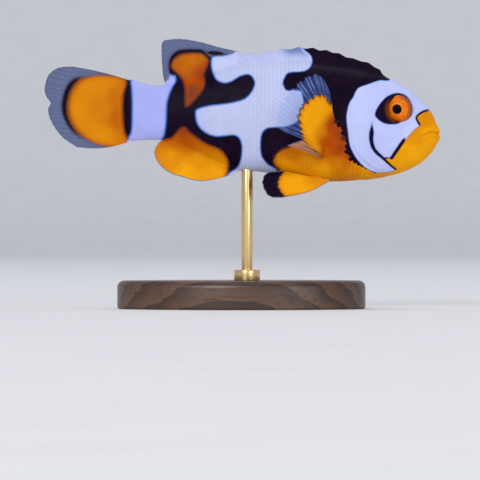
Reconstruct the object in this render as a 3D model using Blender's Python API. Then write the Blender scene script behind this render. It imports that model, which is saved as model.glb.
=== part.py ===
"""A life-size clownfish, cut into the parts a person would name, on a plain rod stand.

Lengths are in millimetres up to the moment a mesh is made. X runs from tail to snout, Y to the fish's left
and Z up, with the origin under the middle of the model, on the surface that the stand rests on.
The fish is drawn straight: a place on it is a distance behind the snout, an offset to its left and a height.
place() then bends that straight fish into its swimming curve.
"""

import math

import bmesh
import bpy
from mathutils import Matrix, Vector

MM = 0.001

# The whole fish
SNOUT_X = 35.2
GAP = 0.3
FIN_THICKNESS = 0.56
TAIL_THICKNESS = 0.7
TAIL_BOW = (0.28, -0.8)
PELVIC_BOW = (-0.6, 0.0)
SPINES = 10
SCALLOP_DEPTH = 0.1
HEAD_TURN_FROM = 32.0
HEAD_TURN = 0.0019
TAIL_TURN_FROM = 33.0
TAIL_TURN = 0.0046

# The body, as (distance behind the snout, value)
BACK_KNOTS = (
    (0, 31.2), (0.1, 32.0), (0.5, 32.7), (0.8, 33.45), (1.15, 34.3), (2.1, 35.8), (3.5, 37.25), (7.1, 40.05),
    (12.4, 42.2), (19.5, 43.5), (27.0, 44.1), (33.7, 43.7), (40.8, 41.8), (47.8, 39.9), (51.0, 39.8),
    (54.8, 40.8),
)
BELLY_KNOTS = (
    (0, 31.2), (0.1, 29.95), (0.5, 29.25), (1.15, 28.05), (2.1, 26.95), (3.5, 25.75), (7.1, 24.05),
    (12.4, 22.95), (19.5, 22.45), (27.0, 23.2), (31.0, 24.05), (36.0, 24.6), (40.8, 26.2), (47.8, 29.5),
    (51.0, 29.9), (54.8, 29.7),
)
FLANK_KNOTS = (
    (0, 0), (0.1, 0.85), (0.5, 1.45), (1.1, 2.0), (2.1, 2.6), (3.5, 3.25), (7.1, 4.35), (12.4, 5.25),
    (18.0, 5.6), (25.0, 5.4), (32.0, 4.7), (40.8, 3.2), (47.8, 2.0), (51.0, 1.6), (54.8, 1.15),
)
BACK_TAPER = 1.15
BELLY_TAPER = 0.92
SNOUT_BLUNT = 0.1
GILL_REACH = 16.7
GILL_CURL = 7.6
GILL_ROUNDNESS = 2.4
STALK_FROM = 48.4
STALK_TO = 54.8
RING_POINTS = 36
HEAD_SPANS = 17
HEAD_CROWDING = 1.7
TRUNK_SPANS = 15
STALK_SPANS = 5

# The mouth and the eyes
MOUTH_HEIGHT = 31.0
MOUTH_DEPTH = 2.3
MOUTH_WIDTH = 12.0
MOUTH_OPEN = 0.35
MOUTH_CUTTER_AHEAD = 1.5
EYE_BEHIND = 7.55
EYE_HEIGHT = 35.2
EYE_RADIUS = 2.45
EYE_THICK = 1.5
EYE_SUNK = 0.8
EYE_FORWARD = math.radians(14)
EYE_UP = math.radians(8)

# The stand
BASE_LENGTH = 44.0
BASE_WIDTH = 29.0
BASE_HEIGHT = 5.0
BASE_EDGE = 1.2
BASE_SIDES = 56
ROD_BEHIND = 34.2
ROD_RADIUS = 1.0
ROD_IN_BASE = 3.0
ROD_IN_FISH = 2.5
ROD_SIDES = 24
COLLAR_RADIUS = 2.3
COLLAR_HEIGHT = 1.6
COLLAR_EDGE = 0.4
COLLAR_SIDES = 32
CUTTER_PAST = 1.0


def hermite(stations, values):
    """The smooth curve through values at these stations, as a function of the station."""
    last = len(stations) - 1
    slopes = []
    for i in range(last + 1):
        a, b = max(i - 1, 0), min(i + 1, last)
        slopes.append((values[b] - values[a]) / (stations[b] - stations[a]))

    def value(at):
        i = 0
        while i < last - 1 and at > stations[i + 1]:
            i += 1
        span = stations[i + 1] - stations[i]
        t = (at - stations[i]) / span
        start = (2 * t**3 - 3 * t**2 + 1) * values[i] + (t**3 - 2 * t**2 + t) * span * slopes[i]
        end = (3 * t**2 - 2 * t**3) * values[i + 1] + (t**3 - t**2) * span * slopes[i + 1]
        return start + end

    return value


def profile(knots):
    """A body line from its knots. It runs in the root of the distance, which makes the snout round."""
    line = hermite([math.sqrt(d) for d, _ in knots], [v for _, v in knots])
    return lambda behind: line(math.sqrt(behind))


back = profile(BACK_KNOTS)
belly = profile(BELLY_KNOTS)
flank = profile(FLANK_KNOTS)


def outline(*points):
    """A smooth edge through points, each (distance behind the snout, height), as a function of a share."""
    stations = [i / (len(points) - 1) for i in range(len(points))]
    along = hermite(stations, [p[0] for p in points])
    up = hermite(stations, [p[1] for p in points])
    return lambda share: (along(share), up(share))


def place(behind, left, height):
    """Where a place on the straight fish lies once the fish is bent to its swimming curve, in metres."""
    to_head = max(0.0, HEAD_TURN_FROM - behind)
    to_tail = max(0.0, behind - TAIL_TURN_FROM)
    sway = HEAD_TURN * to_head**2 + TAIL_TURN * to_tail**2
    heading = math.atan(2 * HEAD_TURN * to_head - 2 * TAIL_TURN * to_tail)
    x = SNOUT_X - behind - left * math.sin(heading)
    y = sway + left * math.cos(heading)
    return Vector((x, y, height)) * MM


def side_of_body(behind, height):
    """How far the body's side is from its middle plane at this place."""
    middle = (back(behind) + belly(behind)) / 2
    half = (back(behind) - belly(behind)) / 2
    rise = max(-1.0, min(1.0, (height - middle) / half))
    taper = BACK_TAPER if rise > 0 else BELLY_TAPER
    return flank(behind) * math.sqrt(1 - rise**2) ** taper


def body_ring(distance_at):
    """One ring round the body. distance_at gives the distance behind the snout for a rise from -1 to 1."""
    ring = []
    for i in range(RING_POINTS):
        angle = 2 * math.pi * i / RING_POINTS
        rise = math.sin(angle)
        behind = distance_at(rise)
        middle = (back(behind) + belly(behind)) / 2
        height = middle + rise * (back(behind) - belly(behind)) / 2
        taper = BACK_TAPER if rise > 0 else BELLY_TAPER
        left = flank(behind) * abs(math.cos(angle)) ** taper
        ring.append(place(behind, math.copysign(left, math.cos(angle)), height))
    return ring


def gill_edge(rise):
    """The rear edge of the head, which bows back over the gill."""
    return GILL_REACH - GILL_CURL * abs(rise) ** GILL_ROUNDNESS


def material(name, colour, roughness, metallic=0.0):
    made = bpy.data.materials.new(name)
    made.use_nodes = True
    shader = made.node_tree.nodes["Principled BSDF"]
    shader.inputs["Base Color"].default_value = (*colour, 1)
    shader.inputs["Roughness"].default_value = roughness
    shader.inputs["Metallic"].default_value = metallic
    return made


def new_object(name, finish):
    """An object with an empty mesh and this material."""
    mesh = bpy.data.meshes.new(name)
    mesh.materials.append(finish)
    made = bpy.data.objects.new(name, mesh)
    bpy.context.scene.collection.objects.link(made)
    return made


def fill_mesh(made, shape, sharp_from=40):
    """Moves a finished bmesh into the object, facing outwards and shaded smooth."""
    bmesh.ops.recalc_face_normals(shape, faces=shape.faces)
    shape.to_mesh(made.data)
    shape.free()
    made.data.shade_smooth()
    made.data.set_sharp_from_angle(angle=math.radians(sharp_from))
    return made


def add_loft(name, rings, finish):
    """A closed solid through rings of equal length, with a fan of faces over each end."""
    shape = bmesh.new()
    loops = [[shape.verts.new(point) for point in ring] for ring in rings]
    count = len(rings[0])
    for here, there in zip(loops, loops[1:]):
        for i in range(count):
            after = (i + 1) % count
            shape.faces.new((here[i], here[after], there[after], there[i]))
    ends = [shape.faces.new(loops[0]), shape.faces.new(loops[-1])]
    bmesh.ops.poke(shape, faces=ends)
    return fill_mesh(new_object(name, finish), shape)


def add_blade(
    name, root, tip, lean, size, finish, thickness=FIN_THICKNESS, scallops=(0, 0.0), bow=(0.0, 0.0),
):
    """A fin: a sheet of rays from its root line to its tip line, given thickness.

    lean(across, out) is how far left of the middle plane the sheet lies, size is its count of faces across
    and out, scallops the number of notches between spines and their depth, and bow how far the first and the
    last ray arch upwards.
    """
    columns, rows = size
    notches, depth = scallops
    shape = bmesh.new()
    bmesh.ops.create_grid(shape, x_segments=columns, y_segments=rows, size=0.5)
    for vert in shape.verts:
        across, out = vert.co.x + 0.5, vert.co.y + 0.5
        (root_behind, root_height), (tip_behind, tip_height) = root(across), tip(across)
        reach = out * (1 - depth * (1 - abs(math.cos(math.pi * notches * across))) * out**2)
        behind = root_behind + (tip_behind - root_behind) * reach
        height = root_height + (tip_height - root_height) * reach
        height += (bow[0] * (1 - across) + bow[1] * across) * math.sin(math.pi * out)
        vert.co = place(behind, lean(across, out), height)
    made = fill_mesh(new_object(name, finish), shape)
    solidify = made.modifiers.new("Thickness", "SOLIDIFY")
    solidify.thickness = thickness * MM
    solidify.offset = 0
    return made


def add_disc(name, radius, low, high, finish, middle=(0, 0), stretch=1.0, sides=ROD_SIDES, bevel=0.0):
    """An upright cylinder between two heights, stretched along X, with its upper edge rounded."""
    shape = bmesh.new()
    at = Matrix.Translation((middle[0] * MM, middle[1] * MM, (low + high) / 2 * MM))
    bmesh.ops.create_cone(
        shape, cap_ends=True, segments=sides, radius1=radius * MM, radius2=radius * MM,
        depth=(high - low) * MM, matrix=at @ Matrix.Diagonal((stretch, 1, 1, 1)),
    )
    if bevel:
        rim = [e for e in shape.edges if all(v.co.z > (high - bevel / 2) * MM for v in e.verts)]
        bmesh.ops.bevel(shape, geom=rim, offset=bevel * MM, segments=3, profile=0.5, affect="EDGES")
    return fill_mesh(new_object(name, finish), shape)


def cut(target, cutter):
    """Takes the cutter's shape out of the target, and leaves the cutter out of the model."""
    cutter.hide_render = True
    cutter.display_type = "WIRE"
    boolean = target.modifiers.new("Cut by " + cutter.name, "BOOLEAN")
    boolean.operation = "DIFFERENCE"
    boolean.object = cutter


def add_body_length(name, front, rear, spans, skin, crowding=1.0):
    """A length of the body between two edges, each a distance behind the snout for a rise from -1 to 1.

    crowding above 1 draws the rings together at the front edge.
    """
    rings = []
    for i in range(spans + 1):
        share = (i / spans) ** crowding
        rings.append(body_ring(lambda rise: front(rise) + (rear(rise) - front(rise)) * share))
    return add_loft(name, rings, skin)


def add_body(skin):
    """The head, the trunk and the tail stalk, parted by thin cuts."""

    def snout(rise):
        return SNOUT_BLUNT

    def behind_gill(rise):
        return gill_edge(rise) + GAP

    def stalk_front(rise):
        return STALK_FROM + GAP

    head = add_body_length("head", snout, gill_edge, HEAD_SPANS, skin, HEAD_CROWDING)
    trunk = add_body_length("trunk", behind_gill, lambda rise: STALK_FROM, TRUNK_SPANS, skin)
    add_body_length("tail_stalk", stalk_front, lambda rise: STALK_TO, STALK_SPANS, skin)
    return head, trunk


def add_mouth(head, skin):
    """A narrow slot between the lips."""
    shape = bmesh.new()
    middle = place(MOUTH_DEPTH / 2, 0, MOUTH_HEIGHT) + Vector((MOUTH_CUTTER_AHEAD / 2 * MM, 0, 0))
    size = Matrix.Diagonal(((MOUTH_DEPTH + MOUTH_CUTTER_AHEAD) * MM, MOUTH_WIDTH * MM, MOUTH_OPEN * MM, 1))
    bmesh.ops.create_cube(shape, size=1, matrix=Matrix.Translation(middle) @ size)
    cut(head, fill_mesh(new_object("mouth_cutter", skin), shape))


def add_eye(side, head, finish):
    """A lens-shaped eyeball in its socket. side is 1 on the fish's left and -1 on its right."""
    surface = side_of_body(EYE_BEHIND, EYE_HEIGHT) - EYE_SUNK
    centre = place(EYE_BEHIND, side * surface, EYE_HEIGHT)
    ahead = place(EYE_BEHIND - 1, side * surface, EYE_HEIGHT) - centre
    turn = math.atan2(ahead.y, ahead.x) - side * EYE_FORWARD
    facing = Matrix.Rotation(turn, 4, "Z") @ Matrix.Rotation(side * EYE_UP, 4, "X")
    name = "eye_left" if side > 0 else "eye_right"
    for label, extra in ((name, 0.0), (name + "_socket_cutter", GAP)):
        shape = bmesh.new()
        scale = Matrix.Diagonal((EYE_RADIUS + extra, EYE_THICK + extra, EYE_RADIUS + extra, 1))
        bmesh.ops.create_uvsphere(
            shape, u_segments=18, v_segments=10, radius=MM,
            matrix=Matrix.Translation(centre) @ facing @ scale @ Matrix.Rotation(math.pi / 2, 4, "X"),
        )
        made = fill_mesh(new_object(label, finish), shape)
        if extra:
            cut(head, made)


def along_back(start, end):
    """The root of a fin on the back, between two distances behind the snout."""
    return lambda across: (start + (end - start) * across, back(start + (end - start) * across) + GAP)


def along_belly(start, end):
    return lambda across: (start + (end - start) * across, belly(start + (end - start) * across) - GAP)


def add_middle_fins(finish):
    """The fins on the middle plane: the two halves of the dorsal fin, the anal fin and the tail fin."""

    def upright(across, out):
        return 0.0

    spiny_tip = outline(
        (10.6, 42.4), (12.9, 43.75), (16.0, 44.6), (18.6, 45.55), (21.2, 46.05), (23.9, 46.4), (27.0, 46.2),
        (30.2, 45.7), (33.2, 45.4), (35.9, 45.6),
    )
    soft_tip = outline(
        (36.6, 45.75), (39.4, 46.45), (42.4, 47.3), (45.4, 47.85), (47.6, 47.85), (49.15, 47.5),
        (49.4, 46.0), (49.3, 43.8), (49.1, 41.4),
    )
    anal_tip = outline(
        (36.3, 23.85), (38.3, 23.35), (40.6, 22.8), (43.0, 22.65), (45.6, 23.3), (47.8, 24.05), (49.4, 25.2),
        (50.45, 26.7), (50.6, 28.2), (49.8, 29.5),
    )
    tail_root = outline((55.1, 40.5), (55.3, 37.6), (55.4, 35.3), (55.3, 33.0), (55.1, 29.9))
    tail_tip = outline(
        (65.3, 43.15), (67.9, 42.95), (69.7, 41.7), (70.4, 39.5), (70.2, 38.0), (69.35, 36.7), (69.8, 35.6),
        (69.5, 34.0), (68.4, 32.0), (66.9, 30.3), (64.6, 28.75),
    )
    add_blade(
        "dorsal_fin_spiny", along_back(9.6, 35.2), spiny_tip, upright, (30, 3), finish,
        scallops=(SPINES - 1, SCALLOP_DEPTH),
    )
    add_blade("dorsal_fin_soft", along_back(35.9, 48.3), soft_tip, upright, (22, 5), finish)
    add_blade("anal_fin", along_belly(35.6, 48.3), anal_tip, upright, (20, 5), finish)
    add_blade(
        "caudal_fin", tail_root, tail_tip, upright, (22, 8), finish, thickness=TAIL_THICKNESS, bow=TAIL_BOW,
    )


def add_pelvic_fin(side, finish):
    """One of the pair of fins under the breast, held back along the belly."""
    root = outline((19.8, 22.35), (20.9, 22.5), (21.9, 22.75))
    tip = outline(
        (26.4, 20.15), (28.4, 19.75), (30.3, 20.0), (31.3, 21.4), (31.5, 22.8), (30.7, 24.0), (28.4, 24.3),
    )

    def lean(across, out):
        return side * (1.9 + 1.9 * out + 0.5 * across * out)

    name = "pelvic_fin_" + ("left" if side > 0 else "right")
    add_blade(name, root, tip, lean, (14, 7), finish, bow=PELVIC_BOW)


def add_pectoral_fin(side, tip, flare, finish):
    """One of the pair of fins behind the gills, fanned out from the flank."""
    root = outline((19.5, 33.0), (20.2, 31.0), (20.9, 28.9), (21.4, 26.9))

    def lean(across, out):
        behind, height = root(across)
        surface = side_of_body(behind, height) + GAP + FIN_THICKNESS / 2 + 0.15
        return side * (surface + flare * out + 0.9 * math.sin(math.pi * out))

    add_blade("pectoral_fin_" + ("left" if side > 0 else "right"), root, tip, lean, (18, 7), finish)


def add_stand(trunk, wood, brass):
    """A flat oval base, a rod that enters the belly, and a collar round the rod's foot."""
    stretch = BASE_LENGTH / BASE_WIDTH
    base = add_disc(
        "stand_base", BASE_WIDTH / 2, 0, BASE_HEIGHT, wood, stretch=stretch, sides=BASE_SIDES,
        bevel=BASE_EDGE,
    )
    at = (SNOUT_X - ROD_BEHIND, place(ROD_BEHIND, 0, 0).y / MM)
    rod_foot = BASE_HEIGHT - ROD_IN_BASE
    rod_top = belly(ROD_BEHIND) + ROD_IN_FISH
    add_disc("stand_rod", ROD_RADIUS, rod_foot, rod_top, brass, middle=at)
    collar_foot = BASE_HEIGHT + GAP
    collar_top = collar_foot + COLLAR_HEIGHT
    collar = add_disc(
        "stand_collar", COLLAR_RADIUS, collar_foot, collar_top, brass, middle=at, sides=COLLAR_SIDES,
        bevel=COLLAR_EDGE,
    )
    holes = (
        ("base_hole_cutter", base, rod_foot - GAP, BASE_HEIGHT + CUTTER_PAST),
        ("belly_hole_cutter", trunk, BASE_HEIGHT, rod_top + GAP),
        ("collar_hole_cutter", collar, collar_foot - CUTTER_PAST, collar_top + CUTTER_PAST),
    )
    for name, bored, low, high in holes:
        cut(bored, add_disc(name, ROD_RADIUS + GAP, low, high, brass, middle=at))


def main():
    for old in list(bpy.data.objects):
        bpy.data.objects.remove(old, do_unlink=True)
    skin = material("skin", (0.72, 0.76, 0.95), 0.35)
    fins = material("fins", (0.86, 0.45, 0.03), 0.4)
    eyes = material("eyes", (0.75, 0.28, 0.02), 0.08)
    wood = material("dark wood", (0.13, 0.06, 0.03), 0.4)
    brass = material("brass", (0.78, 0.6, 0.3), 0.25, metallic=1.0)

    head, trunk = add_body(skin)
    add_mouth(head, skin)
    for side in (1, -1):
        add_eye(side, head, eyes)
        add_pelvic_fin(side, fins)
    add_middle_fins(fins)
    right_tip = outline(
        (20.4, 38.5), (20.9, 39.7), (21.7, 40.8), (22.9, 41.3), (24.9, 40.3), (26.7, 38.6), (28.1, 36.9),
        (29.0, 34.9), (29.2, 33.0), (28.9, 31.7), (26.8, 30.8), (24.9, 29.85), (26.2, 29.3), (27.4, 28.75),
    )
    left_tip = outline(
        (23.6, 38.6), (25.6, 39.4), (27.8, 38.6), (29.4, 36.6), (30.4, 34.0), (30.6, 31.4), (29.8, 29.0),
        (27.8, 27.2), (25.6, 26.2),
    )
    add_pectoral_fin(-1, right_tip, 4.4, fins)
    add_pectoral_fin(1, left_tip, 3.2, fins)
    add_stand(trunk, wood, brass)


main()
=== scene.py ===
"""A life-size clownfish on a display stand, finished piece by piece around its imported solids.

The fish is drawn straight, in millimetres: a place on it is a distance behind the snout, an offset to its
left and a height over the floor, and bend() turns it into its swimming curve. Markings are closed outlines
on each flank, as (distance behind the snout, height) in a side view, and every surface stores how far inside
them it lies, so that skin, scales and fins share one pattern.
"""

import math
from types import SimpleNamespace

import bpy
import numpy as np
from bpy.props import FloatProperty, FloatVectorProperty, IntProperty, PointerProperty
from mathutils import Matrix, Vector


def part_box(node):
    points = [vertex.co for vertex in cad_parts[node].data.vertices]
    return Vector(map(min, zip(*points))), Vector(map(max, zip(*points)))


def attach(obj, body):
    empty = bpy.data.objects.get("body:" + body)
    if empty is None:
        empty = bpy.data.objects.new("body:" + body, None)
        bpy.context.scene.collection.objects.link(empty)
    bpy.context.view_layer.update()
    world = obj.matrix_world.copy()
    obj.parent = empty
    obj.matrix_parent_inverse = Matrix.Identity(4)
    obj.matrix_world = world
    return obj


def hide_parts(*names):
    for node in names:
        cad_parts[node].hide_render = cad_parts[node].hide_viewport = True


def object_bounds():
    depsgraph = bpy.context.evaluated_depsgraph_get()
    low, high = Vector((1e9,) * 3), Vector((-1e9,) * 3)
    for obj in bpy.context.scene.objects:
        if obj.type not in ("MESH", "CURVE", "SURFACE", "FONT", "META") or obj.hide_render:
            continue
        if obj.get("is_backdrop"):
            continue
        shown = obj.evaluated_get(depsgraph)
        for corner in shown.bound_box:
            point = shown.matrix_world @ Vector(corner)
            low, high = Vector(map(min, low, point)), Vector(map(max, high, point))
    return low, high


bl_info = {
    "name": "Clownfish on a stand",
    "version": (1, 0, 0),
    "blender": (4, 5, 0),
    "location": "3D View > Sidebar > Clownfish",
    "description": "Builds a life-size clownfish with solid scales, ribbed fins and a turned stand",
    "category": "Add Mesh",
}

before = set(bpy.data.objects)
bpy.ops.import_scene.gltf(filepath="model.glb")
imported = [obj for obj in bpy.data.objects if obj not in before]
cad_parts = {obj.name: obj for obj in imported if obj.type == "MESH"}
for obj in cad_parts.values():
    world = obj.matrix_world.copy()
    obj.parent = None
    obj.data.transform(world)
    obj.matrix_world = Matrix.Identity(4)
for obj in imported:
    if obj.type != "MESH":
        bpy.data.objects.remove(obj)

MM = 0.001
SNOUT_X = 35.2
HEAD_TURN_FROM, HEAD_TURN = 32.0, 0.0019
TAIL_TURN_FROM, TAIL_TURN = 33.0, 0.0046
STALK_END = 54.8
SKIN_END = STALK_END + 3.2
EYE_BEHIND, EYE_HEIGHT = 7.55, 35.2
VIEW_FROM = 700.0
VIEW_MIDDLE = (35.44, 12.18)
BACK_TAPER, BELLY_TAPER, BELLY_KEEL = 1.15, 0.92, 0.5
GILL_REACH, GILL_CURL = 16.7, 7.6
FIN_SUNK = 0.8
SIDE_NAMES = {-1: "right", 1: "left"}

# Body lines, as (distance behind the snout, value)
BACK = (
    (0, 31.2), (0.1, 32), (0.5, 32.7), (0.8, 33.45), (1.15, 34.3), (2.1, 35.8), (3.5, 37.25), (7.1, 40.05),
    (12.4, 42.2), (19.5, 43.5), (27, 44.1), (33.7, 43.7), (40.8, 41.8), (47.8, 39.9), (51, 39.8),
    (54.8, 40.8),
)
BELLY = (
    (0, 31.2), (0.1, 29.95), (0.5, 29.25), (1.15, 28.05), (2.1, 26.95), (3.5, 25.75), (7.1, 24.05),
    (12.4, 22.95), (19.5, 22.45), (27, 23.2), (31, 24.05), (36, 24.6), (40.8, 26.2), (47.8, 29.5),
    (51, 29.9), (54.8, 29.7),
)
FLANK = (
    (0, 0), (0.1, 0.85), (0.5, 1.45), (1.1, 2), (2.1, 2.6), (3.5, 3.25), (7.1, 4.35), (12.4, 5.25),
    (18, 5.6), (25, 5.4), (32, 4.7), (40.8, 3.2), (47.8, 2), (51, 1.6), (54.8, 1.15),
)
# Swellings of the skin, as (behind, height, length, depth, rise, power): fin root, gill cover and cheek
SWELLINGS = (
    (19.3, 30, 1.6, 3.5, 0.62, 1.5), (13.9, 32.5, 1.6, 5.5, 0.16, 1), (9, 29.6, 2.2, 2.4, 0.14, 1),
)

# Patches on the right flank. A line starts with its width at its first point and at its last
RIGHT_WHITE = (
    ((-1, 37.5), (1.2, 35.5), (2.8, 34.9), (4, 34.2), (4.1, 33.4), (3.5, 32.7), (4.6, 31.7), (5.7, 30.5),
     (7.4, 28.2), (8.6, 26.75), (10.3, 26.7), (9.2, 25.6), (7.9, 24.65), (9.9, 24.16), (11.3, 24.2),
     (12.95, 24.9), (14.2, 26), (15.2, 27.4), (15.9, 29), (16.2, 30.9), (16.5, 33.5), (16.43, 34.7),
     (16, 36.4), (15.3, 37.5), (14.8, 38.6), (14.18, 39.2), (12.76, 39.7), (10.7, 40.4), (8.77, 40.6),
     (7.4, 43.5), (1.5, 41)),
    ((24.3, 48.5), (24.3, 46.2), (22.9, 44.8), (22.8, 43.3), (24, 42.2), (26.8, 41.9), (27.6, 40.95),
     (27.9, 40.05), (27.6, 39.1), (27, 38.6), (25.8, 38.7), (24.6, 38.3), (24.2, 35.8), (25, 33.6),
     (27, 32.4), (29.6, 32.2), (30.9, 31.9), (31.75, 30.6), (31.75, 27.4), (30.6, 25.6), (28.9, 24.4),
     (28.8, 21.5), (38.4, 21.5), (37.6, 23.7), (35.8, 25.1), (35.1, 27.2), (35.2, 29.6), (36.4, 30.8),
     (39.6, 30.6), (41.6, 31.3), (42.9, 32.7), (43.25, 34.3), (42.95, 35.34), (40.6, 35.97), (38.55, 36.2),
     (36.2, 36.6), (34.5, 37.2), (33.5, 38.2), (32.87, 39.35), (32.8, 40.3), (33.35, 41.27), (34.15, 41.6),
     (35.45, 41.27), (36.9, 40.4), (38, 40.07), (39, 40.3), (39.8, 40.95), (40.4, 42.57), (40.5, 43.85),
     (40.3, 44.5), (39.6, 44.8), (38.2, 44.85), (37, 45.3), (36.2, 46.2), (36.2, 48.5)),
    ((55.2, 43.5), (54.9, 40.3), (54.65, 39.2), (54.5, 36.9), (54.5, 34.7), (54.55, 32.6), (54.75, 31.1),
     (55.5, 29.9), (55.6, 27), (49.3, 27), (49, 30.1), (48.6, 33), (48.5, 36), (48.15, 37.6),
     (47.75, 38.7), (47.3, 39.6), (46.9, 40.3), (47, 41.2), (47.7, 41.4)),
)
RIGHT_ORANGE = (
    ((-3, 20), (-3, 38.5), (5.5, 38), (9.7, 31), (10.6, 26.6), (10.6, 20)),
    ((13.8, 25.3), (15.4, 26.2), (16.2, 26.9), (16.65, 28.3), (16.8, 29.7), (17.05, 30.7), (17.5, 31.9),
     (18, 32.9), (19.1, 33.1), (20.4, 33), (23, 30.3), (24.9, 29.3), (26.9, 28.5), (28.4, 27.8),
     (29.2, 26.6), (29.1, 25.4), (28.3, 24.5), (28, 20), (8, 20)),
    ((46.4, 41.8), (47.2, 42.5), (47.45, 43.2), (47, 44.1), (46.2, 44.75), (44.8, 45.1), (42.6, 45.15),
     (41.5, 44.5), (41.2, 43.8), (41.65, 42.4), (42, 41.6), (41.75, 40.6), (41.9, 39.3), (42.9, 37.8),
     (44.8, 35.9), (45, 37.2), (45, 38.5), (45.2, 39.8), (45.6, 40.9)),
    ((45.4, 32.1), (44.3, 31.1), (41.6, 29.2), (39, 28.1), (37.7, 26.4), (37.6, 24.9), (38.4, 22.8),
     (40.5, 19.5), (54, 19.5), (53.5, 29.5), (49.5, 29.85), (47.9, 30), (47.1, 30.5), (46.3, 31.4)),
    ((55.6, 28.9), (58.6, 28.8), (61.3, 29.4), (63.8, 31.1), (65.4, 33.5), (65.8, 36), (65.2, 38.5),
     (63.6, 40.5), (61.2, 41.3), (58.5, 41.3), (56.4, 40.9), (55.7, 40.2), (56.2, 37.9), (56.3, 34.8),
     (56, 31.5), (55.4, 29.9)),
)
RIGHT_DARK = (
    ((7.2, 38.2), (8.7, 37.95), (9.9, 37.15), (10.95, 35.8), (11.5, 34.6), (11.15, 33.75), (9.9, 32.9),
     (8.5, 32.7), (7.2, 32.95), (5.6, 34.4), (5, 35.9), (5.75, 37.5)),
    ((38.1, 45.3), (39.3, 45.7), (40.7, 45.75), (41.4, 45.4), (40.6, 44.9), (38.8, 44.9)),
)
RIGHT_LINES = (
    (0.84, 0.34, ((12, 33.1), (12.14, 30.9), (12.18, 30.05), (11.93, 28.8), (11.32, 27.8), (10.3, 26.87),
                 (8.87, 25.55), (7.85, 24.7))),
    (0.6, 0.6, ((6.1, 30.3), (7.4, 28.4), (8.56, 26.7))),
    (0.2, 0.2, ((8.56, 26.7), (10.3, 26.75))),
    (0.36, 0.36, ((1.8, 35.3), (3.2, 34.8), (4.15, 33.9), (3.6, 32.6))),
)
RIGHT_CLEAR = (
    ((51.5, 39.2), (49, 39.9), (47.9, 40.9), (48, 42.4), (47.95, 43.9), (47.3, 45.1), (46, 45.85),
     (43.5, 45.95), (42.05, 45.8), (41.2, 45), (40.6, 44.5), (39.8, 44.85), (38, 45), (36.2, 45.6),
     (36, 50), (51.5, 50)),
)

# Patches on the left flank
LEFT_WHITE = (
    ((1, 38), (2.6, 35.7), (4.3, 35.3), (5.5, 35.7), (6.3, 37), (7.7, 37.9), (9.6, 37.6), (10.8, 35.8),
     (11.1, 34.4), (10, 33.6), (7.7, 32.9), (6.3, 32.8), (5.8, 31.9), (6, 30.6), (6.8, 28.4), (7.7, 26.7),
     (8.6, 25.4), (9.2, 23.4), (11.1, 23.9), (13.1, 25.6), (14.8, 27.4), (15.7, 29.9), (16.2, 32.7),
     (16.5, 35.4), (16.2, 37.4), (15.5, 39), (14, 40), (11.8, 40.9), (9.7, 41.2), (8.5, 44), (3, 42)),
    ((30.3, 48.5), (30.2, 45.8), (28.7, 43.5), (27.5, 41.6), (27.4, 39.4), (26.8, 37.9), (22.4, 38),
     (20.7, 37.4), (20.3, 36.3), (21.9, 34.6), (25.7, 33.4), (27.9, 31.9), (29.8, 30.4), (31, 28),
     (31.1, 26.3), (29.6, 24.4), (29.4, 21.5), (39.2, 21.5), (38.1, 24.2), (36.1, 25.2), (35.1, 26.8),
     (34.6, 28.9), (35.1, 30.7), (36.9, 32), (40.4, 32.6), (42.1, 33.5), (42.5, 34.8), (41.6, 36.1),
     (38.4, 36), (35.6, 36.1), (34, 36.9), (33.1, 38.2), (33.1, 39.9), (34.4, 42.1), (36.1, 44),
     (37.5, 44.6), (38.6, 43.9), (38.6, 42.6), (38.1, 40.9), (38.9, 39.1), (40.7, 38.3), (42.5, 38.8),
     (43.8, 40.3), (43.8, 42.3), (43, 44.6), (41.4, 46.4), (41.4, 48.5)),
    ((49.4, 42.5), (49.1, 40), (48.3, 38.4), (48.3, 36.8), (49.6, 35.7), (51.3, 35.1), (51.6, 33.5),
     (50.7, 31.9), (50.1, 27), (54.8, 27), (54.5, 31), (54.3, 35.4), (54.4, 40.5), (54.7, 43.5)),
)
LEFT_ORANGE = (
    ((-3, 20), (-3, 40), (11.4, 40), (11.4, 32), (9.7, 20)),
    ((13.1, 24.9), (15.1, 27), (16, 29.6), (16.4, 31.8), (18, 32.6), (20.2, 32.7), (23.5, 32),
     (26.3, 30.4), (27.4, 28.2), (28.5, 26.6), (28.4, 25), (27.8, 20), (8, 20)),
    ((43.4, 44.9), (43.8, 45.8), (45, 45.9), (47, 45.1), (49.1, 43.7), (49.8, 42.4), (48.1, 41.2),
     (46.5, 40.2), (45.8, 38.5), (45.3, 40.4), (44.4, 43)),
    ((45.7, 38.1), (44.7, 37.2), (43.9, 35.6), (43, 33.5), (40.5, 31.6), (38.4, 29.7), (37.6, 27.5),
     (37.7, 25), (39.2, 23.1), (43.7, 22.7), (47.8, 23.9), (50.2, 25.8), (51, 27.8), (50.4, 29.2),
     (48.7, 29.9), (48.1, 32.1), (47.5, 34), (46.7, 36.2)),
    ((55.5, 28.4), (59.4, 28.6), (63.9, 30.8), (66.4, 34), (66.6, 37.2), (65.2, 40), (62.2, 41.6),
     (59.4, 41.7), (56.4, 41.5), (55.6, 40), (56.2, 37.9), (56.4, 34.8), (56.1, 31.5), (55.4, 29.9)),
)
LEFT_DARK = (
    ((39.7, 46), (41.2, 46.7), (43, 47.2), (42.5, 46.2), (41, 45.5)),
)
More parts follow.
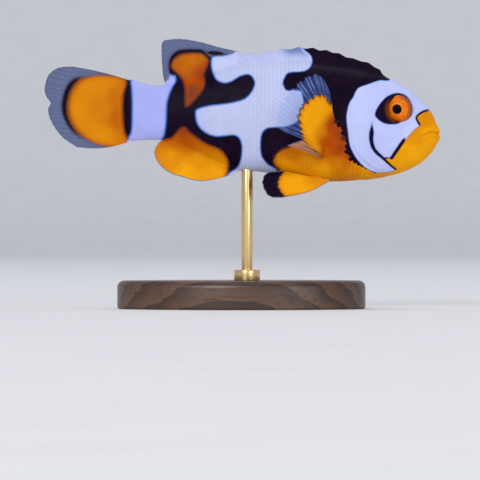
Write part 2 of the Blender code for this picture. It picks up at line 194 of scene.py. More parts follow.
LEFT_LINES = (
    (0.42, 0.26, ((12.1, 32.6), (11.6, 30.2), (11, 28.1), (9.7, 26.5), (8, 25), (6.7, 23.9))),
    (0.34, 0.34, ((5.8, 32.3), (6, 30.6), (6.8, 28.4), (7.7, 26.7), (8.7, 25.4))),
    (0.50, 0.40, ((9.9, 37.5), (10.8, 36), (11.1, 34.4), (9.9, 33.6), (8, 33.1))),
    (0.22, 0.22, ((2.3, 35.9), (4.3, 35.3), (5.5, 35.8), (6.4, 37.1), (8, 38))),
)
LEFT_CLEAR = (
    ((35.8, 45.4), (37.6, 46.2), (39.7, 47.2), (43.3, 46.7), (44.8, 46.5), (47, 45.8), (49.4, 44.2),
     (50.4, 42.2), (49.9, 40.4), (53, 39.6), (53, 50), (35.8, 50)),
)

# Where the orange is brown (under 0), deep (0) or golden (1), as (behind, height, gold) on each flank. Mostly
# the orange's own tone; on the right flank's belly the gold is set higher as painted light, against the shade
# under the body
RIGHT_GOLD = (
    (1.5, 31, 1), (2.6, 33.5, 0.57), (4.2, 30.3, 0.6), (4, 27.8, 1), (7, 26, 0.85),
    (13, 24.1, 0.74), (15, 24.5, 0.55), (16.5, 26.5, 0.3), (17.5, 28.5, -0.25), (17.8, 31, -0.3),
    (19, 31.7, -0.22), (19.2, 29.5, -0.05), (20.2, 28, 0.25), (20.2, 31.2, 0.38), (18.3, 25.8, 0.5),
    (20.5, 24.8, 0.75), (23, 27, 0.62), (26, 27.5, 0.33), (27, 25, 0.7), (44, 44, 0.46),
    (44.8, 42.3, 0.4), (42, 41.7, -0.35), (43, 44.1, 0.38), (44.2, 40.7, 0.2), (43.8, 39, -0.35),
    (44, 37.4, -0.7), (45.3, 31.6, -0.35), (44, 30.2, 0.2), (47, 30, 0.3), (42, 28.8, 0.35),
    (42.5, 26.4, 0.65), (47.5, 26.8, 0.62), (40.5, 24.3, 0.82), (45, 24, 0.9), (57, 37.8, 0.36),
    (57, 34, 0.25), (60, 39.8, 0.55), (60, 35, 0.45), (60, 31, 0.55), (64.5, 35, 0.55),
)
LEFT_GOLD = (
    (2, 31, 0.95), (7.9, 35.4, 0.42), (7, 26.5, 0.9), (17.6, 30.5, 0.2), (19.6, 29, 0.12),
    (15, 24.6, 0.66), (23, 25, 0.55), (27.5, 27, 0.4), (45, 44.3, 0.55), (45.6, 35.2, -0.3),
    (44.5, 31.8, -0.1), (43.5, 26, 0.62), (60, 35, 0.75),
)


# ---- settings


def length(name, about, default):
    return FloatProperty(name=name, description=about, default=default * MM, unit="LENGTH", precision=5)


def colour(name, about, default):
    return FloatVectorProperty(name=name, description=about, default=default, subtype="COLOR", min=0, max=1)


class FishSizes(bpy.types.PropertyGroup):
    coat: length("Coat depth", "How deep the skin lies under the outline where scales cover it", 0.13)
    lift: length("Scale lift", "How far a scale's free edge stands over its root", 0.055)
    cheek_lift: length("Cheek lift", "The same for the small scales of the head", 0.034)
    scale_thickness: length("Scale thickness", "Thickness of one scale", 0.03)
    scale_rows: IntProperty(name="Scale rows", description="Rows of scales round the trunk", default=54)
    cheek_rows: IntProperty(name="Cheek rows", description="Rows of small scales round the head", default=84)
    gill_step: length("Gill step", "Height of the gill cover's rear edge over the trunk", 0.24)


class FinSizes(bpy.types.PropertyGroup):
    membrane: length("Membrane", "Thickness of the skin between two rays", 0.12)
    ray: length("Ray", "How much thicker a ray is at its root", 0.12)
    pleat: length("Pleat", "How deep the skin between two rays folds", 0.02)


class FishColours(bpy.types.PropertyGroup):
    white: colour("White", "The white patches", (0.53, 0.58, 0.83))
    head_white: colour("Head white", "The white on the head", (0.53, 0.58, 0.93))
    tail_white: colour("Tail white", "The white on the tail stalk", (0.415, 0.45, 0.89))
    edge: colour("Edge", "The thin line where white meets black", (0.012, 0.11, 0.46))
    black: colour("Black", "The dark ground", (0.006, 0.0018, 0.012))
    dusk: colour("Dusk", "The dark brown of the eye's surround and of thin dark skin", (0.016, 0.006, 0.016))
    ink: colour("Ink", "The bluish black of the lines across the white", (0.0035, 0.003, 0.028))
    rust: colour("Rust", "The brown where orange runs into black", (0.215, 0.046, 0.013))
    flame: colour("Flame", "The deepest orange", (0.46, 0.069, 0.001))
    gold: colour("Gold", "The lightest orange", (0.93, 0.40, 0.003))
    clear: colour("Clear", "The greyish edge of the fins", (0.115, 0.14, 0.27))
    iris: colour("Iris", "The eye's ring", (0.92, 0.22, 0.006))


class StandSizes(bpy.types.PropertyGroup):
    bevel: length("Edge", "Radius of the base's upper edge", 1.2)
    wood_dark: colour("Dark grain", "The walnut's dark lines", (0.030, 0.012, 0.006))
    wood_light: colour("Light grain", "The walnut between its dark lines", (0.125, 0.055, 0.026))
    brass: colour("Brass", "The rod and its collar", (0.80, 0.58, 0.28))


class StageSizes(bpy.types.PropertyGroup):
    view_width: FloatProperty(name="View width", description="Width of the view at the fish",
                              default=0.08507, unit="LENGTH")
    floor: colour("Floor", "The pale floor", (0.86, 0.86, 0.88))


# ---- the fish's shape


def smooth(low, high, value):
    """0 below low and 1 above high, with a smooth step between them. low may be the larger."""
    share = np.clip((value - low) / (high - low), 0, 1)
    return share * share * (3 - 2 * share)


def bump(distance, width):
    return np.exp(-(distance / width) ** 2)


def curve_through(stations, values):
    """The smooth curve through values at these stations, as a function of the station."""
    stations, values = np.array(stations, float), np.array(values, float)
    own = np.arange(len(stations))
    before, after = np.maximum(own - 1, 0), np.minimum(own + 1, own[-1])
    slopes = (values[after] - values[before]) / (stations[after] - stations[before])

    def value(at):
        at = np.asarray(at, float)
        i = np.clip(np.searchsorted(stations, at) - 1, 0, len(stations) - 2)
        span = stations[i + 1] - stations[i]
        t = (at - stations[i]) / span
        start = (2 * t**3 - 3 * t**2 + 1) * values[i] + (t**3 - 2 * t**2 + t) * span * slopes[i]
        end = (3 * t**2 - 2 * t**3) * values[i + 1] + (t**3 - t**2) * span * slopes[i + 1]
        return start + end

    return value


def profile(knots):
    """A body line from its knots. It runs in the root of the distance, which makes the snout round."""
    line = curve_through([math.sqrt(d) for d, _ in knots], [v for _, v in knots])
    return lambda behind: line(np.sqrt(np.maximum(behind, 0)))


back, belly, flank = profile(BACK), profile(BELLY), profile(FLANK)


def outline(*points):
    """A smooth edge through points, as a function of a share 0 to 1."""
    stations = np.linspace(0, 1, len(points))
    along = curve_through(stations, [p[0] for p in points])
    up = curve_through(stations, [p[1] for p in points])
    return lambda share: (along(share), up(share))


def bend(behind, left, height):
    """Places on the straight fish, moved to its swimming curve. An array of points in millimetres."""
    to_head = np.maximum(0, HEAD_TURN_FROM - behind)
    to_tail = np.maximum(0, behind - TAIL_TURN_FROM)
    sway = HEAD_TURN * to_head**2 + TAIL_TURN * to_tail**2
    heading = np.arctan(2 * HEAD_TURN * to_head - 2 * TAIL_TURN * to_tail)
    x = SNOUT_X - behind - left * np.sin(heading)
    y = sway + left * np.cos(heading)
    return np.stack(np.broadcast_arrays(x, y, height), axis=-1)


def section(behind):
    """The body's middle height, half height and half width at a distance behind the snout.

    Past the tail stalk it thins into a scaly lobe on the root of the tail fin.
    """
    on_body = np.minimum(behind, STALK_END)
    middle = (back(on_body) + belly(on_body)) / 2
    past = np.clip((behind - STALK_END) / (SKIN_END - STALK_END), 0, 1)
    close = np.sqrt(1 - past**2)
    half = (back(on_body) - belly(on_body)) / 2 * close
    width = flank(on_body) * close * (1 - 0.72 * smooth(0, 0.8, past))
    return middle, half, width


def body_place(behind, around):
    """The straight fish's (left, height) at a distance behind the snout and an angle round the body."""
    middle, half, width = section(behind)
    rise, out = np.sin(around), np.cos(around)
    keeled = smooth(33.0, 38.0, behind) * smooth(52.0, 48.5, behind)
    taper = np.where(rise > 0, BACK_TAPER, BELLY_TAPER + BELLY_KEEL * keeled)
    left = np.sign(out) * width * np.abs(out) ** taper
    return left, middle + half * rise


def segments_distance(points, line):
    """The distance of each 2D point from a line of points, and the share of the line where it is nearest."""
    nearest = np.full(len(points), 1e9)
    share = np.zeros(len(points))
    count = len(line) - 1
    for i in range(count):
        start, step = line[i], line[i + 1] - line[i]
        offset = points - start
        t = np.clip((offset @ step) / max(step @ step, 1e-12), 0, 1)
        distance = np.hypot(offset[:, 0] - t * step[0], offset[:, 1] - t * step[1])
        closer = distance < nearest
        nearest = np.where(closer, distance, nearest)
        share = np.where(closer, (i + t) / count, share)
    return nearest, share


def rounded(points, per_span=5):
    """A closed outline with smooth corners through points."""
    points = np.array(points, float)
    out = []
    for i in range(len(points)):
        a, b, c, d = (points[(i + k) % len(points)] for k in (-1, 0, 1, 2))
        for t in np.linspace(0, 1, per_span, endpoint=False):
            out.append(0.5 * (2 * b + (c - a) * t + (2 * a - 5 * b + 4 * c - d) * t**2
                              + (3 * b - a - 3 * c + d) * t**3))
    out.append(out[0])
    return np.array(out)


def open_line(points, per_span=4):
    along = outline(*points)
    x, z = along(np.linspace(0, 1, (len(points) - 1) * per_span + 1))
    return np.stack([x, z], axis=-1)


def inside_by(points, loop):
    """How far inside a closed outline each 2D point lies, negative outside it."""
    distance, _ = segments_distance(points, loop)
    inside = np.zeros(len(points), bool)
    for (ax, ay), (bx, by) in zip(loop[:-1], loop[1:]):
        crosses = (ay > points[:, 1]) != (by > points[:, 1])
        if ay != by:
            at = ax + (points[:, 1] - ay) / (by - ay) * (bx - ax)
            inside ^= crosses & (points[:, 0] < at)
    return np.where(inside, distance, -distance)


def deepest(points, outlines):
    return np.max([inside_by(points, rounded(o)) for o in outlines], axis=0)


def gold_at(points, spots):
    """The share of gold in the orange, drawn smoothly between the spots where it is known."""
    total, weight = np.zeros(len(points)), np.zeros(len(points))
    for x, z, gold in spots:
        w = 1 / ((points[:, 0] - x) ** 2 + (points[:, 1] - z) ** 2 + 0.4) ** 1.6
        total += gold * w
        weight += w
    return total / weight


SIDES = (
    (RIGHT_WHITE, RIGHT_ORANGE, RIGHT_DARK, RIGHT_LINES, RIGHT_CLEAR, RIGHT_GOLD),
    (LEFT_WHITE, LEFT_ORANGE, LEFT_DARK, LEFT_LINES, LEFT_CLEAR, LEFT_GOLD),
)
MARKS = ("white", "orange", "dark", "clear", "gold")


def flank_marks(points, side):
    """The marks on one flank, at 2D points seen from that side: how far inside each patch they lie, in mm."""
    white, orange, dark, lines, clear, gold = SIDES[side]
    darkness = deepest(points, dark)
    for start, end, line in lines:
        distance, share = segments_distance(points, open_line(line))
        width = (start + (end - start) * share) * smooth(-0.02, 0.14, share)
        darkness = np.maximum(darkness, width / 2 - distance)
    crisp = 1 + 2 * smooth(20, 17.5, points[:, 0])
    return {
        "white": deepest(points, white), "orange": deepest(points, orange) * crisp, "dark": darkness,
        "clear": deepest(points, clear), "gold": gold_at(points, gold),
    }


def seen_from(points, side):
    """Bent points in a side view of the right flank (side 0) or the left one (1), as (behind, height)."""
    nearer = VIEW_FROM / (VIEW_FROM + (points[:, 1] if side == 0 else -points[:, 1]))
    seen = np.stack([SNOUT_X - points[:, 0], points[:, 2]], axis=-1)
    return VIEW_MIDDLE + (seen - VIEW_MIDDLE) * nearer[:, None]


def marks_at(points, leftness):
    """The marks at bent points. leftness runs from 0 on the right flank to 1 on the left one."""
    found = {name: np.zeros(len(points)) for name in MARKS}
    for side, weight in ((0, 1 - leftness), (1, leftness)):
        used = weight > 0
        if used.any():
            for name, values in flank_marks(seen_from(points[used], side), side).items():
                found[name][used] += weight[used] * values
    return found


def leftness_at(points, left):
    """The left flank's share of the pattern. The two blend over back and belly and meet at a fin's foot."""
    behind = SNOUT_X - points[:, 0]
    middle = section(behind)[0]
    finned = np.where(points[:, 2] > middle, smooth(9.0, 10.0, behind), smooth(34.5, 35.5, behind))
    finned *= smooth(49.0, 48.0, behind)
    half = 1.1 - 0.95 * finned
    return smooth(-half, half, left)


def scaled_share(behind, height):
    """1 where scales cover the skin and 0 on the bare snout, jaw and eye rim."""
    eye = np.hypot(behind - EYE_BEHIND, height - EYE_HEIGHT)
    bare_snout = 5.6 + 0.028 * (height - 36.0) ** 2 + 3.0 * smooth(31.5, 27.5, height)
    return smooth(-0.3, 0.5, behind - bare_snout) * smooth(2.75, 3.15, eye)


def eye_halo(behind, height):
    """The brown glow in the dark patch behind the eye: 1 at the eye's rear rim and 0 further back."""
    back_of_eye, over_eye = behind - EYE_BEHIND, height - EYE_HEIGHT
    away = np.hypot(back_of_eye, over_eye)
    rearward = (back_of_eye - 0.25 * over_eye) / np.maximum(away, 0.1)
    return 0.85 * smooth(2.9, 2.3, away) * smooth(0.35, 0.9, rearward)


def mouth_line(behind):
    return 30.95 + 0.25 * np.sin(0.9 * np.clip(behind, 0, 3.4)) - 0.2 * np.maximum(0, behind - 2.0) ** 2


def gill_edge(rise):
    return GILL_REACH - GILL_CURL * np.abs(rise) ** 2.4


def relief(behind, around, left, height, sizes):
    """How far the skin stands over the plain body, in mm: gill cover, eye rims, lips, nostrils, fin roots."""
    rise = np.sin(around)
    up = -sizes.coat / MM * scaled_share(behind, height)
    past_gill = behind - gill_edge(rise)
    gill_shown = smooth(0.86, 0.55, rise) * smooth(-0.98, -0.7, rise)
    step = smooth(-0.14, 0.14, past_gill) * np.exp(-np.maximum(past_gill, 0) / 1.5)
    up += gill_shown * (0.05 * bump(past_gill + 0.5, 0.45) - sizes.gill_step / MM * step)
    for x, z, long, deep, swell, power in SWELLINGS:
        up += swell * np.exp(-(((behind - x) / long) ** 2 + ((height - z) / deep) ** 2) ** power)
    eye = np.hypot(behind - EYE_BEHIND, height - EYE_HEIGHT)
    up += -1.3 * smooth(2.3, 1.95, eye) + 0.10 * bump(eye - 2.5, 0.26) - 0.05 * bump(eye - 3.1, 0.4)
    cleft = height - mouth_line(behind)
    up += (0.15 * bump(np.abs(cleft) - 0.45, 0.28) - 0.34 * bump(cleft, 0.15)) * smooth(3.5, 2.9, behind)
    up -= 0.07 * bump(np.abs(cleft) - 1.0, 0.2) * smooth(3.4, 2.4, behind) * smooth(0.2, 0.9, behind)
    nostril = np.hypot(behind - 4.0, height - 35.3)
    up += 0.07 * bump(nostril - 0.36, 0.14) - 0.22 * bump(nostril, 0.2)
    finned = smooth(49.5, 47.5, behind)
    on_dorsal = smooth(9.2, 11, behind) * finned * smooth(0.9, 1.0, rise)
    on_anal = smooth(34.5, 36.5, behind) * finned * smooth(-0.9, -1.0, rise)
    up += 0.45 * (on_dorsal + on_anal) * bump(left, 0.42)
    middle, half, _ = section(behind)
    lateral = bump(height - middle - 0.42 * half, 0.14) * smooth(17.5, 19, behind) * smooth(46, 43, behind)
    return up + 0.035 * lateral


def preopercle_groove(points, left, depth=0.13):
    """The groove that the dark line on each cheek lies in."""
    found = np.zeros(len(points))
    for side, on_side, lines in ((0, left <= 0, RIGHT_LINES), (1, left > 0, LEFT_LINES)):
        near = on_side & (points[:, 0] > SNOUT_X - 15)
        distance, _ = segments_distance(seen_from(points[near], side), open_line(lines[0][-1]))
        found[near] = -depth * bump(distance, 0.26)
    return found


def surface(behind, around, lift, sizes):
    """Points of the bent skin, lifted along its normal, and how far to the fish's left each one is."""
    step = 0.02
    safe = np.clip(behind, 0.04, SKIN_END - 0.04)

    def at(b, a):
        left, height = body_place(b, a)
        return bend(b, left, height)

    lengthwise = at(safe + step, around) - at(safe - step, around)
    normal = np.cross(at(safe, around + step) - at(safe, around - step), lengthwise)
    middle, _, _ = section(behind)
    left, height = body_place(behind, around)
    point = bend(behind, left, height)
    outward = point - bend(behind, np.zeros_like(left), middle)
    outward[behind < 0.02] = (1, 0, 0)
    outward[behind > SKIN_END - 0.02] = (-1, 0, 0)
    normal *= np.sign(np.sum(normal * outward, axis=1, keepdims=True))
    normal /= np.maximum(np.linalg.norm(normal, axis=1, keepdims=True), 1e-12)
    up = relief(behind, around, left, height, sizes) + preopercle_groove(point, left) + lift
    return point + normal * up[:, None], left


# ---- mesh helpers


def deselect():
    if bpy.context.object and bpy.context.object.mode != "OBJECT":
        bpy.ops.object.mode_set(mode="OBJECT")
    bpy.ops.object.select_all(action="DESELECT")


def pick(piece):
    """Leaves one piece selected and active."""
    deselect()
    bpy.context.view_layer.objects.active = piece
    piece.select_set(True)


def named(name):
    """The primitive just added, as a piece of this name."""
    piece = bpy.context.object
    piece.name = name
    piece.data.name = name
    return piece


def read_points(mesh):
    points = np.empty(len(mesh.vertices) * 3, np.float32)
    mesh.vertices.foreach_get("co", points)
    return points.reshape(-1, 3).astype(float)


def write_points(mesh, points):
    """Moves a mesh's points to places given in millimetres."""
    mesh.vertices.foreach_set("co", (points * MM).astype(np.float32).ravel())
    mesh.update()


def store(mesh, **attributes):
    """Gives a mesh's points one number each, under each attribute's name."""
    for name, values in attributes.items():
        mesh.attributes.new(name, "FLOAT", "POINT").data.foreach_set("value", np.asarray(values, np.float32))


def face_outwards(piece):
    pick(piece)
    bpy.ops.object.mode_set(mode="EDIT")
    bpy.ops.mesh.select_all(action="SELECT")
    bpy.ops.mesh.normals_make_consistent(inside=False)
    bpy.ops.object.mode_set(mode="OBJECT")


def settle(piece, finish, replaced=()):
    """Gives a finished piece its material, shades it smooth and lets it ride with the model."""
    piece.data.materials.clear()
    piece.data.materials.append(finish)
    piece.data.shade_smooth()
    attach(piece, "root")
    if replaced:
        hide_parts(*replaced)


def apply_modifiers(piece):
    pick(piece)
    for modifier in list(piece.modifiers):
        bpy.ops.object.modifier_apply(modifier=modifier.name)


# ---- materials


# The specular level of skin, fins and eyes, which glint as little as they do under water
DULL = 0.04


class Shade:
    """A material's node tree, with short calls for the nodes that this fish needs."""

    def __init__(self, name):
        self.material = bpy.data.materials.new(name)
        self.material.use_nodes = True
        self.tree = self.material.node_tree
        self.shader = self.tree.nodes["Principled BSDF"]

    def put(self, socket, value):
        if isinstance(value, bpy.types.NodeSocket):
            self.tree.links.new(value, socket)
        elif hasattr(value, "__len__") and len(value) < len(socket.default_value):
            socket.default_value = (*value, 1)
        else:
            socket.default_value = value

    def node(self, kind, inputs, output=0, **settings):
        """The output of a new node with these settings, its inputs given by name or place."""
        made = self.tree.nodes.new(kind)
        for key, value in settings.items():
            setattr(made, key, value)
        for key, value in inputs.items():
            self.put(made.inputs[key], value)
        return made.outputs[output]

    def maths(self, operation, *values):
        return self.node("ShaderNodeMath", dict(enumerate(values)), operation=operation)

    def ramp(self, value, low, high, start=0.0, end=1.0):
        """value from low to high, turned smoothly into start to end."""
        inputs = dict(enumerate((value, low, high, start, end)))
        return self.node("ShaderNodeMapRange", inputs, interpolation_type="SMOOTHSTEP")

    def mix(self, share, a, b, blend="MIX"):
        return self.node("ShaderNodeMix", {0: share, 6: a, 7: b}, 2, data_type="RGBA", blend_type=blend)

    def layers(self, base, *laid):
        """Colours laid over a base one after the other, each given after its share."""
        for share, colour in laid:
            base = self.mix(share, base, colour)
        return base

    def attribute(self, name):
        return self.node("ShaderNodeAttribute", {}, "Fac", attribute_name=name)

    def place(self):
        return self.node("ShaderNodeTexCoord", {}, "Object")

    def stretched(self, stretch):
        return self.node("ShaderNodeMapping", {"Vector": self.place(), "Scale": stretch})

    def noise(self, scale, detail, stretch=(1, 1, 1)):
        """Noise in the object's own space. scale is in waves per metre."""
        inputs = {"Vector": self.stretched(stretch), "Scale": scale, "Detail": detail}
        return self.node("ShaderNodeTexNoise", inputs)

    def bump(self, height, distance, strength):
        inputs = {"Height": height, "Distance": distance, "Strength": strength}
        self.put(self.shader.inputs["Normal"], self.node("ShaderNodeBump", inputs))

    def set(self, **values):
        """The finished material, with values on the shader's sockets, named with _ for each space."""
        for key, value in values.items():
            self.put(self.shader.inputs[key.replace("_", " ")], value)
        return self.material


def patch_colour(shade, colours):
    """The fish's colour from its marks: dark ground, orange that turns brown, white with a blue edge, lines.

    The edges are crisp on the head and grow softer towards the tail.
    """
    along = shade.node("ShaderNodeSeparateXYZ", {0: shade.place()})
    soft = shade.ramp(along, 0.024, -0.014)
    wobble = shade.maths("MULTIPLY", shade.maths("SUBTRACT", shade.noise(1800, 3), 0.5), 0.16)
    orange, white, dark = (
        shade.maths("ADD", shade.attribute(mark), shade.maths("MULTIPLY", wobble, sway))
        for mark, sway in (("orange", 1.0), ("white", 0.5), ("dark", 0.6)))
    gold = shade.attribute("gold")
    mottle = shade.noise(420, 4)

    def past_edge(mark, crisp_from, soft_from, crisp_to, soft_to):
        """0 before a mark's edge and 1 past it. The soft numbers widen it towards the tail."""
        return shade.ramp(mark, shade.maths("MULTIPLY_ADD", soft, soft_from, crisp_from),
                          shade.maths("MULTIPLY_ADD", soft, soft_to, crisp_to))

    def on_white(share):
        return shade.maths("MULTIPLY", share, shade.ramp(white, 0.0, 0.3))

    warm = shade.layers(
        colours.flame, (shade.ramp(gold, 0, 1), colours.gold), (shade.ramp(gold, 0, -0.45), colours.rust),
        (shade.ramp(orange, 0, 0.9, 0.35, 0), colours.flame),
        (shade.ramp(mottle, 0.3, 0.7, 0, 0.12), colours.flame))
    ground = shade.layers(
        colours.black, (shade.ramp(mottle, 0.35, 0.75, 0, 0.5), colours.dusk),
        (shade.ramp(orange, -0.5, 0, 0, 0.35), colours.rust))
    rim = shade.mix(shade.ramp(orange, -0.4, 0.1), colours.edge, colours.flame)
    pale = shade.layers(
        colours.white, (shade.ramp(along, 0.012, 0.024), colours.head_white),
        (shade.ramp(along, -0.004, -0.013), colours.tail_white))
    pale = shade.mix(1, pale, shade.ramp(shade.noise(260, 3), 0.3, 0.7, 0.95, 1.03), "MULTIPLY")
    deep = shade.layers(
        colours.dusk, (shade.ramp(dark, 0.05, 0.7), colours.black),
        (on_white(shade.ramp(dark, 0.6, 0.3, 0, 0.9)), colours.ink), (shade.attribute("halo"), colours.rust))
    return shade.layers(
        ground, (past_edge(orange, -0.22, -0.25, 0.22, 0.25), warm),
        (past_edge(white, -0.22, -0.12, -0.03, -0.02), rim),
        (past_edge(white, -0.14, -0.06, 0.11, 0.27), pale),
        (on_white(shade.ramp(dark, -0.2, -0.05, 0, 0.45)), colours.edge),
        (shade.ramp(dark, -0.07, 0.07), deep))


def skin_material(name, colours, roughness):
    """Skin or scales. The attribute rim lays painted shade on each scale's free edge."""
    shade = Shade(name)
    rim = shade.ramp(shade.attribute("rim"), 0.0, 1.0)
    # Darkens the scales' free edges: painted shade, as where a scale's edge steps over the next
    shown = shade.mix(rim, patch_colour(shade, colours), (0.85, 0.84, 0.86), "MULTIPLY")
    shade.bump(shade.noise(5200, 3), 0.00003, 0.5)
    rough = shade.ramp(shade.noise(900, 3), 0.3, 0.7, roughness - 0.05, roughness + 0.07)
    return shade.set(Base_Color=shown, Roughness=rough, Specular_IOR_Level=DULL)


def fin_material(name, colours, cover, ray_cover, ray_light=0.2, clear_colour=None):
    """A fin's skin. cover and ray_cover are how opaque it is where it is clear, between rays and on them.

    ray_light is how much paler the clear skin is on a ray.
    """
    shade = Shade(name)
    clear, ray, pink = (shade.attribute(mark) for mark in ("clear", "ray", "pink"))
    on_ray = shade.ramp(ray, 0.3, 0.9)
    lit = shade.maths("MULTIPLY", on_ray, ray_light)
    pale = shade.mix(lit, clear_colour or colours.clear, (0.60, 0.66, 0.85))
    out = shade.ramp(clear, -0.1, 0.2)
    shown = shade.mix(out, patch_colour(shade, colours), pale)
    # The skin between two rays, away from the clear edge, is darkened a little: painted shade in the folds
    # between the rays
    between = shade.maths("MULTIPLY", shade.ramp(ray, 0.5, 0.05), shade.ramp(clear, 0.1, -0.1))
    shown = shade.mix(between, shown, (0.98, 0.965, 0.98), "MULTIPLY")
    shown = shade.mix(pink, shown, shade.mix(on_ray, (0.46, 0.195, 0.115), (0.70, 0.33, 0.18)))
    see_through = shade.maths("MULTIPLY_ADD", on_ray, ray_cover - cover, cover - 1.0)
    alpha = shade.maths("MULTIPLY_ADD", out, see_through, 1.0)
    alpha = shade.maths("MULTIPLY_ADD", pink, shade.maths("SUBTRACT", 0.85, alpha), alpha)
    shade.bump(shade.noise(4200, 2), 0.00003, 0.4)
    return shade.set(Base_Color=shown, Roughness=0.42, Alpha=alpha, Specular_IOR_Level=DULL)


def eye_material(colours, dark_rim):
    """Pupil, and iris with a bright inner ring, a shaded crescent and a smoky rim.

    All are drawn by the distance from the eye's axis, and the crescent by the attribute shadow too.
    """
    bright, shaded, pupil = (1, 0.27, 0.008), (0.27, 0.082, 0.042), (0.001, 0.001, 0.006)
    shade = Shade("eye")
    out = shade.attribute("from_axis")
    streaked = shade.mix(1, colours.iris, (0.74, 0.62, 0.6), "MULTIPLY")
    crescent = shade.ramp(shade.attribute("shadow"), 0.15, 0.8)
    crescent = shade.maths("MULTIPLY", crescent, shade.ramp(out, 1.65, 2.15, 0, 0.85))
    shown = shade.layers(
        streaked, (shade.ramp(shade.noise(2400, 3), 0.3, 0.7), colours.iris),
        (shade.ramp(out, 1.35, 1, 0, 0.6), bright), (crescent, shaded),
        (shade.ramp(out, 2.25, 2.5, 0, dark_rim), colours.dusk), (shade.ramp(out, 0.90, 0.82), pupil))
    return shade.set(
        Base_Color=shown, Roughness=0.35, Coat_Weight=0.04, Coat_Roughness=0.04, Specular_IOR_Level=DULL)


def wood_material(sizes):
    """Oiled walnut, its grain running along the base."""
    shade = Shade("walnut")
    grain = shade.node("ShaderNodeTexWave", {
        "Vector": shade.stretched((0.05, 1.0, 0.8)), "Scale": 190.0, "Distortion": 5.0, "Detail": 3.0,
        "Detail Scale": 1.6,
    }, "Fac", wave_type="BANDS", bands_direction="DIAGONAL", wave_profile="SAW")
    broad = shade.noise(120, 3, (0.1, 1.0, 0.6))
    pores = shade.noise(2600, 2, (0.04, 1.0, 1.0))
    line = shade.maths("MULTIPLY_ADD", grain, 0.55, shade.maths("MULTIPLY", broad, 0.5))
    shown = shade.layers(
        sizes.wood_light, (shade.ramp(line, 0.15, 0.85), sizes.wood_dark),
        (shade.ramp(pores, 0.56, 0.68, 0, 0.6), (0.012, 0.005, 0.003)))
    shade.bump(pores, 0.00003, 0.3)
    rough = shade.ramp(pores, 0.4, 0.7, 0.34, 0.55)
    return shade.set(Base_Color=shown, Roughness=rough, Coat_Weight=0.2, Coat_Roughness=0.2)


def brass_material(sizes, stretch):
    shade = Shade("brushed brass")
    brush = shade.noise(3000, 3, stretch)
    shown = shade.mix(shade.ramp(brush, 0.3, 0.7, 0.0, 0.35), sizes.brass, (0.55, 0.36, 0.14))
    shade.bump(brush, 0.00002, 0.3)
    return shade.set(Base_Color=shown, Roughness=shade.ramp(brush, 0.3, 0.7, 0.2, 0.34), Metallic=1.0)


# ---- skin and scales


class FISH_OT_skin(bpy.types.Operator):
    """One skin over head, trunk and tail stalk, shaped from a sphere, with its pole at the snout"""

    bl_idname = "fish.skin"
    bl_label = "Skin"

    SEGMENTS = 184
    RINGS = 236

    def execute(self, context):
        deselect()
        bpy.ops.mesh.primitive_uv_sphere_add(segments=self.SEGMENTS, ring_count=self.RINGS, radius=1)
        skin = named("skin")
        ball = read_points(skin.data)
        share = np.arccos(np.clip(ball[:, 2], -1, 1)) / math.pi
        around = np.arctan2(ball[:, 1], ball[:, 0])
        stations = curve_through((0, 0.03, 0.09, 0.2, 0.52, 1), (0, 0.04, 0.9, 4.4, 19.0, SKIN_END))
        behind = stations(share)
        points, left = surface(behind, around, np.zeros(len(ball)), context.scene.fish_sizes)
        write_points(skin.data, points)
        halo = eye_halo(behind, body_place(behind, around)[1])
        store(skin.data, halo=halo, **marks_at(points, leftness_at(points, left)))
        face_outwards(skin)
        finish = skin_material("fish skin", context.scene.fish_colours, 0.42)
        settle(skin, finish, ("head", "trunk", "tail_stalk"))
        return {"FINISHED"}


def one_scale(cuts):
    """A flat scale one unit wide, long and thick: its points, and its faces as lists of indices."""
    deselect()
    bpy.ops.mesh.primitive_grid_add(x_subdivisions=cuts, y_subdivisions=cuts, size=1)
    pattern = named("scale_pattern")
    solidify = pattern.modifiers.new("Thickness", "SOLIDIFY")
    solidify.thickness = 1.0
    solidify.offset = -1
    apply_modifiers(pattern)
    points = read_points(pattern.data)
    faces = np.array([list(face.vertices) for face in pattern.data.polygons])
    bpy.data.objects.remove(pattern)
    return points, faces


def even_angles(behind):
    """The skin's girth at a distance behind the snout, and the angle at each share of it."""
    fine = np.linspace(-math.pi, math.pi, 721)
    left, height = body_place(np.full_like(fine, behind), fine)
    along = np.concatenate([[0], np.cumsum(np.hypot(np.diff(left), np.diff(height)))])
    girth = along[-1]

    def angle(share):
        whole = np.floor(share)
        return np.interp((share - whole) * girth, along, fine) + 2 * math.pi * whole

    return girth, angle


# One scale: how long it is against its shown part, how wide against its row, and how far its rear edge is
# rounded; then, against its lift, how far it arches across and how deep its root lies
SCALE_LENGTH, SCALE_WIDTH, SCALE_ROUND = 1.75, 1.14, 0.34
SCALE_ARCH, SCALE_SUNK = 0.8, 0.1


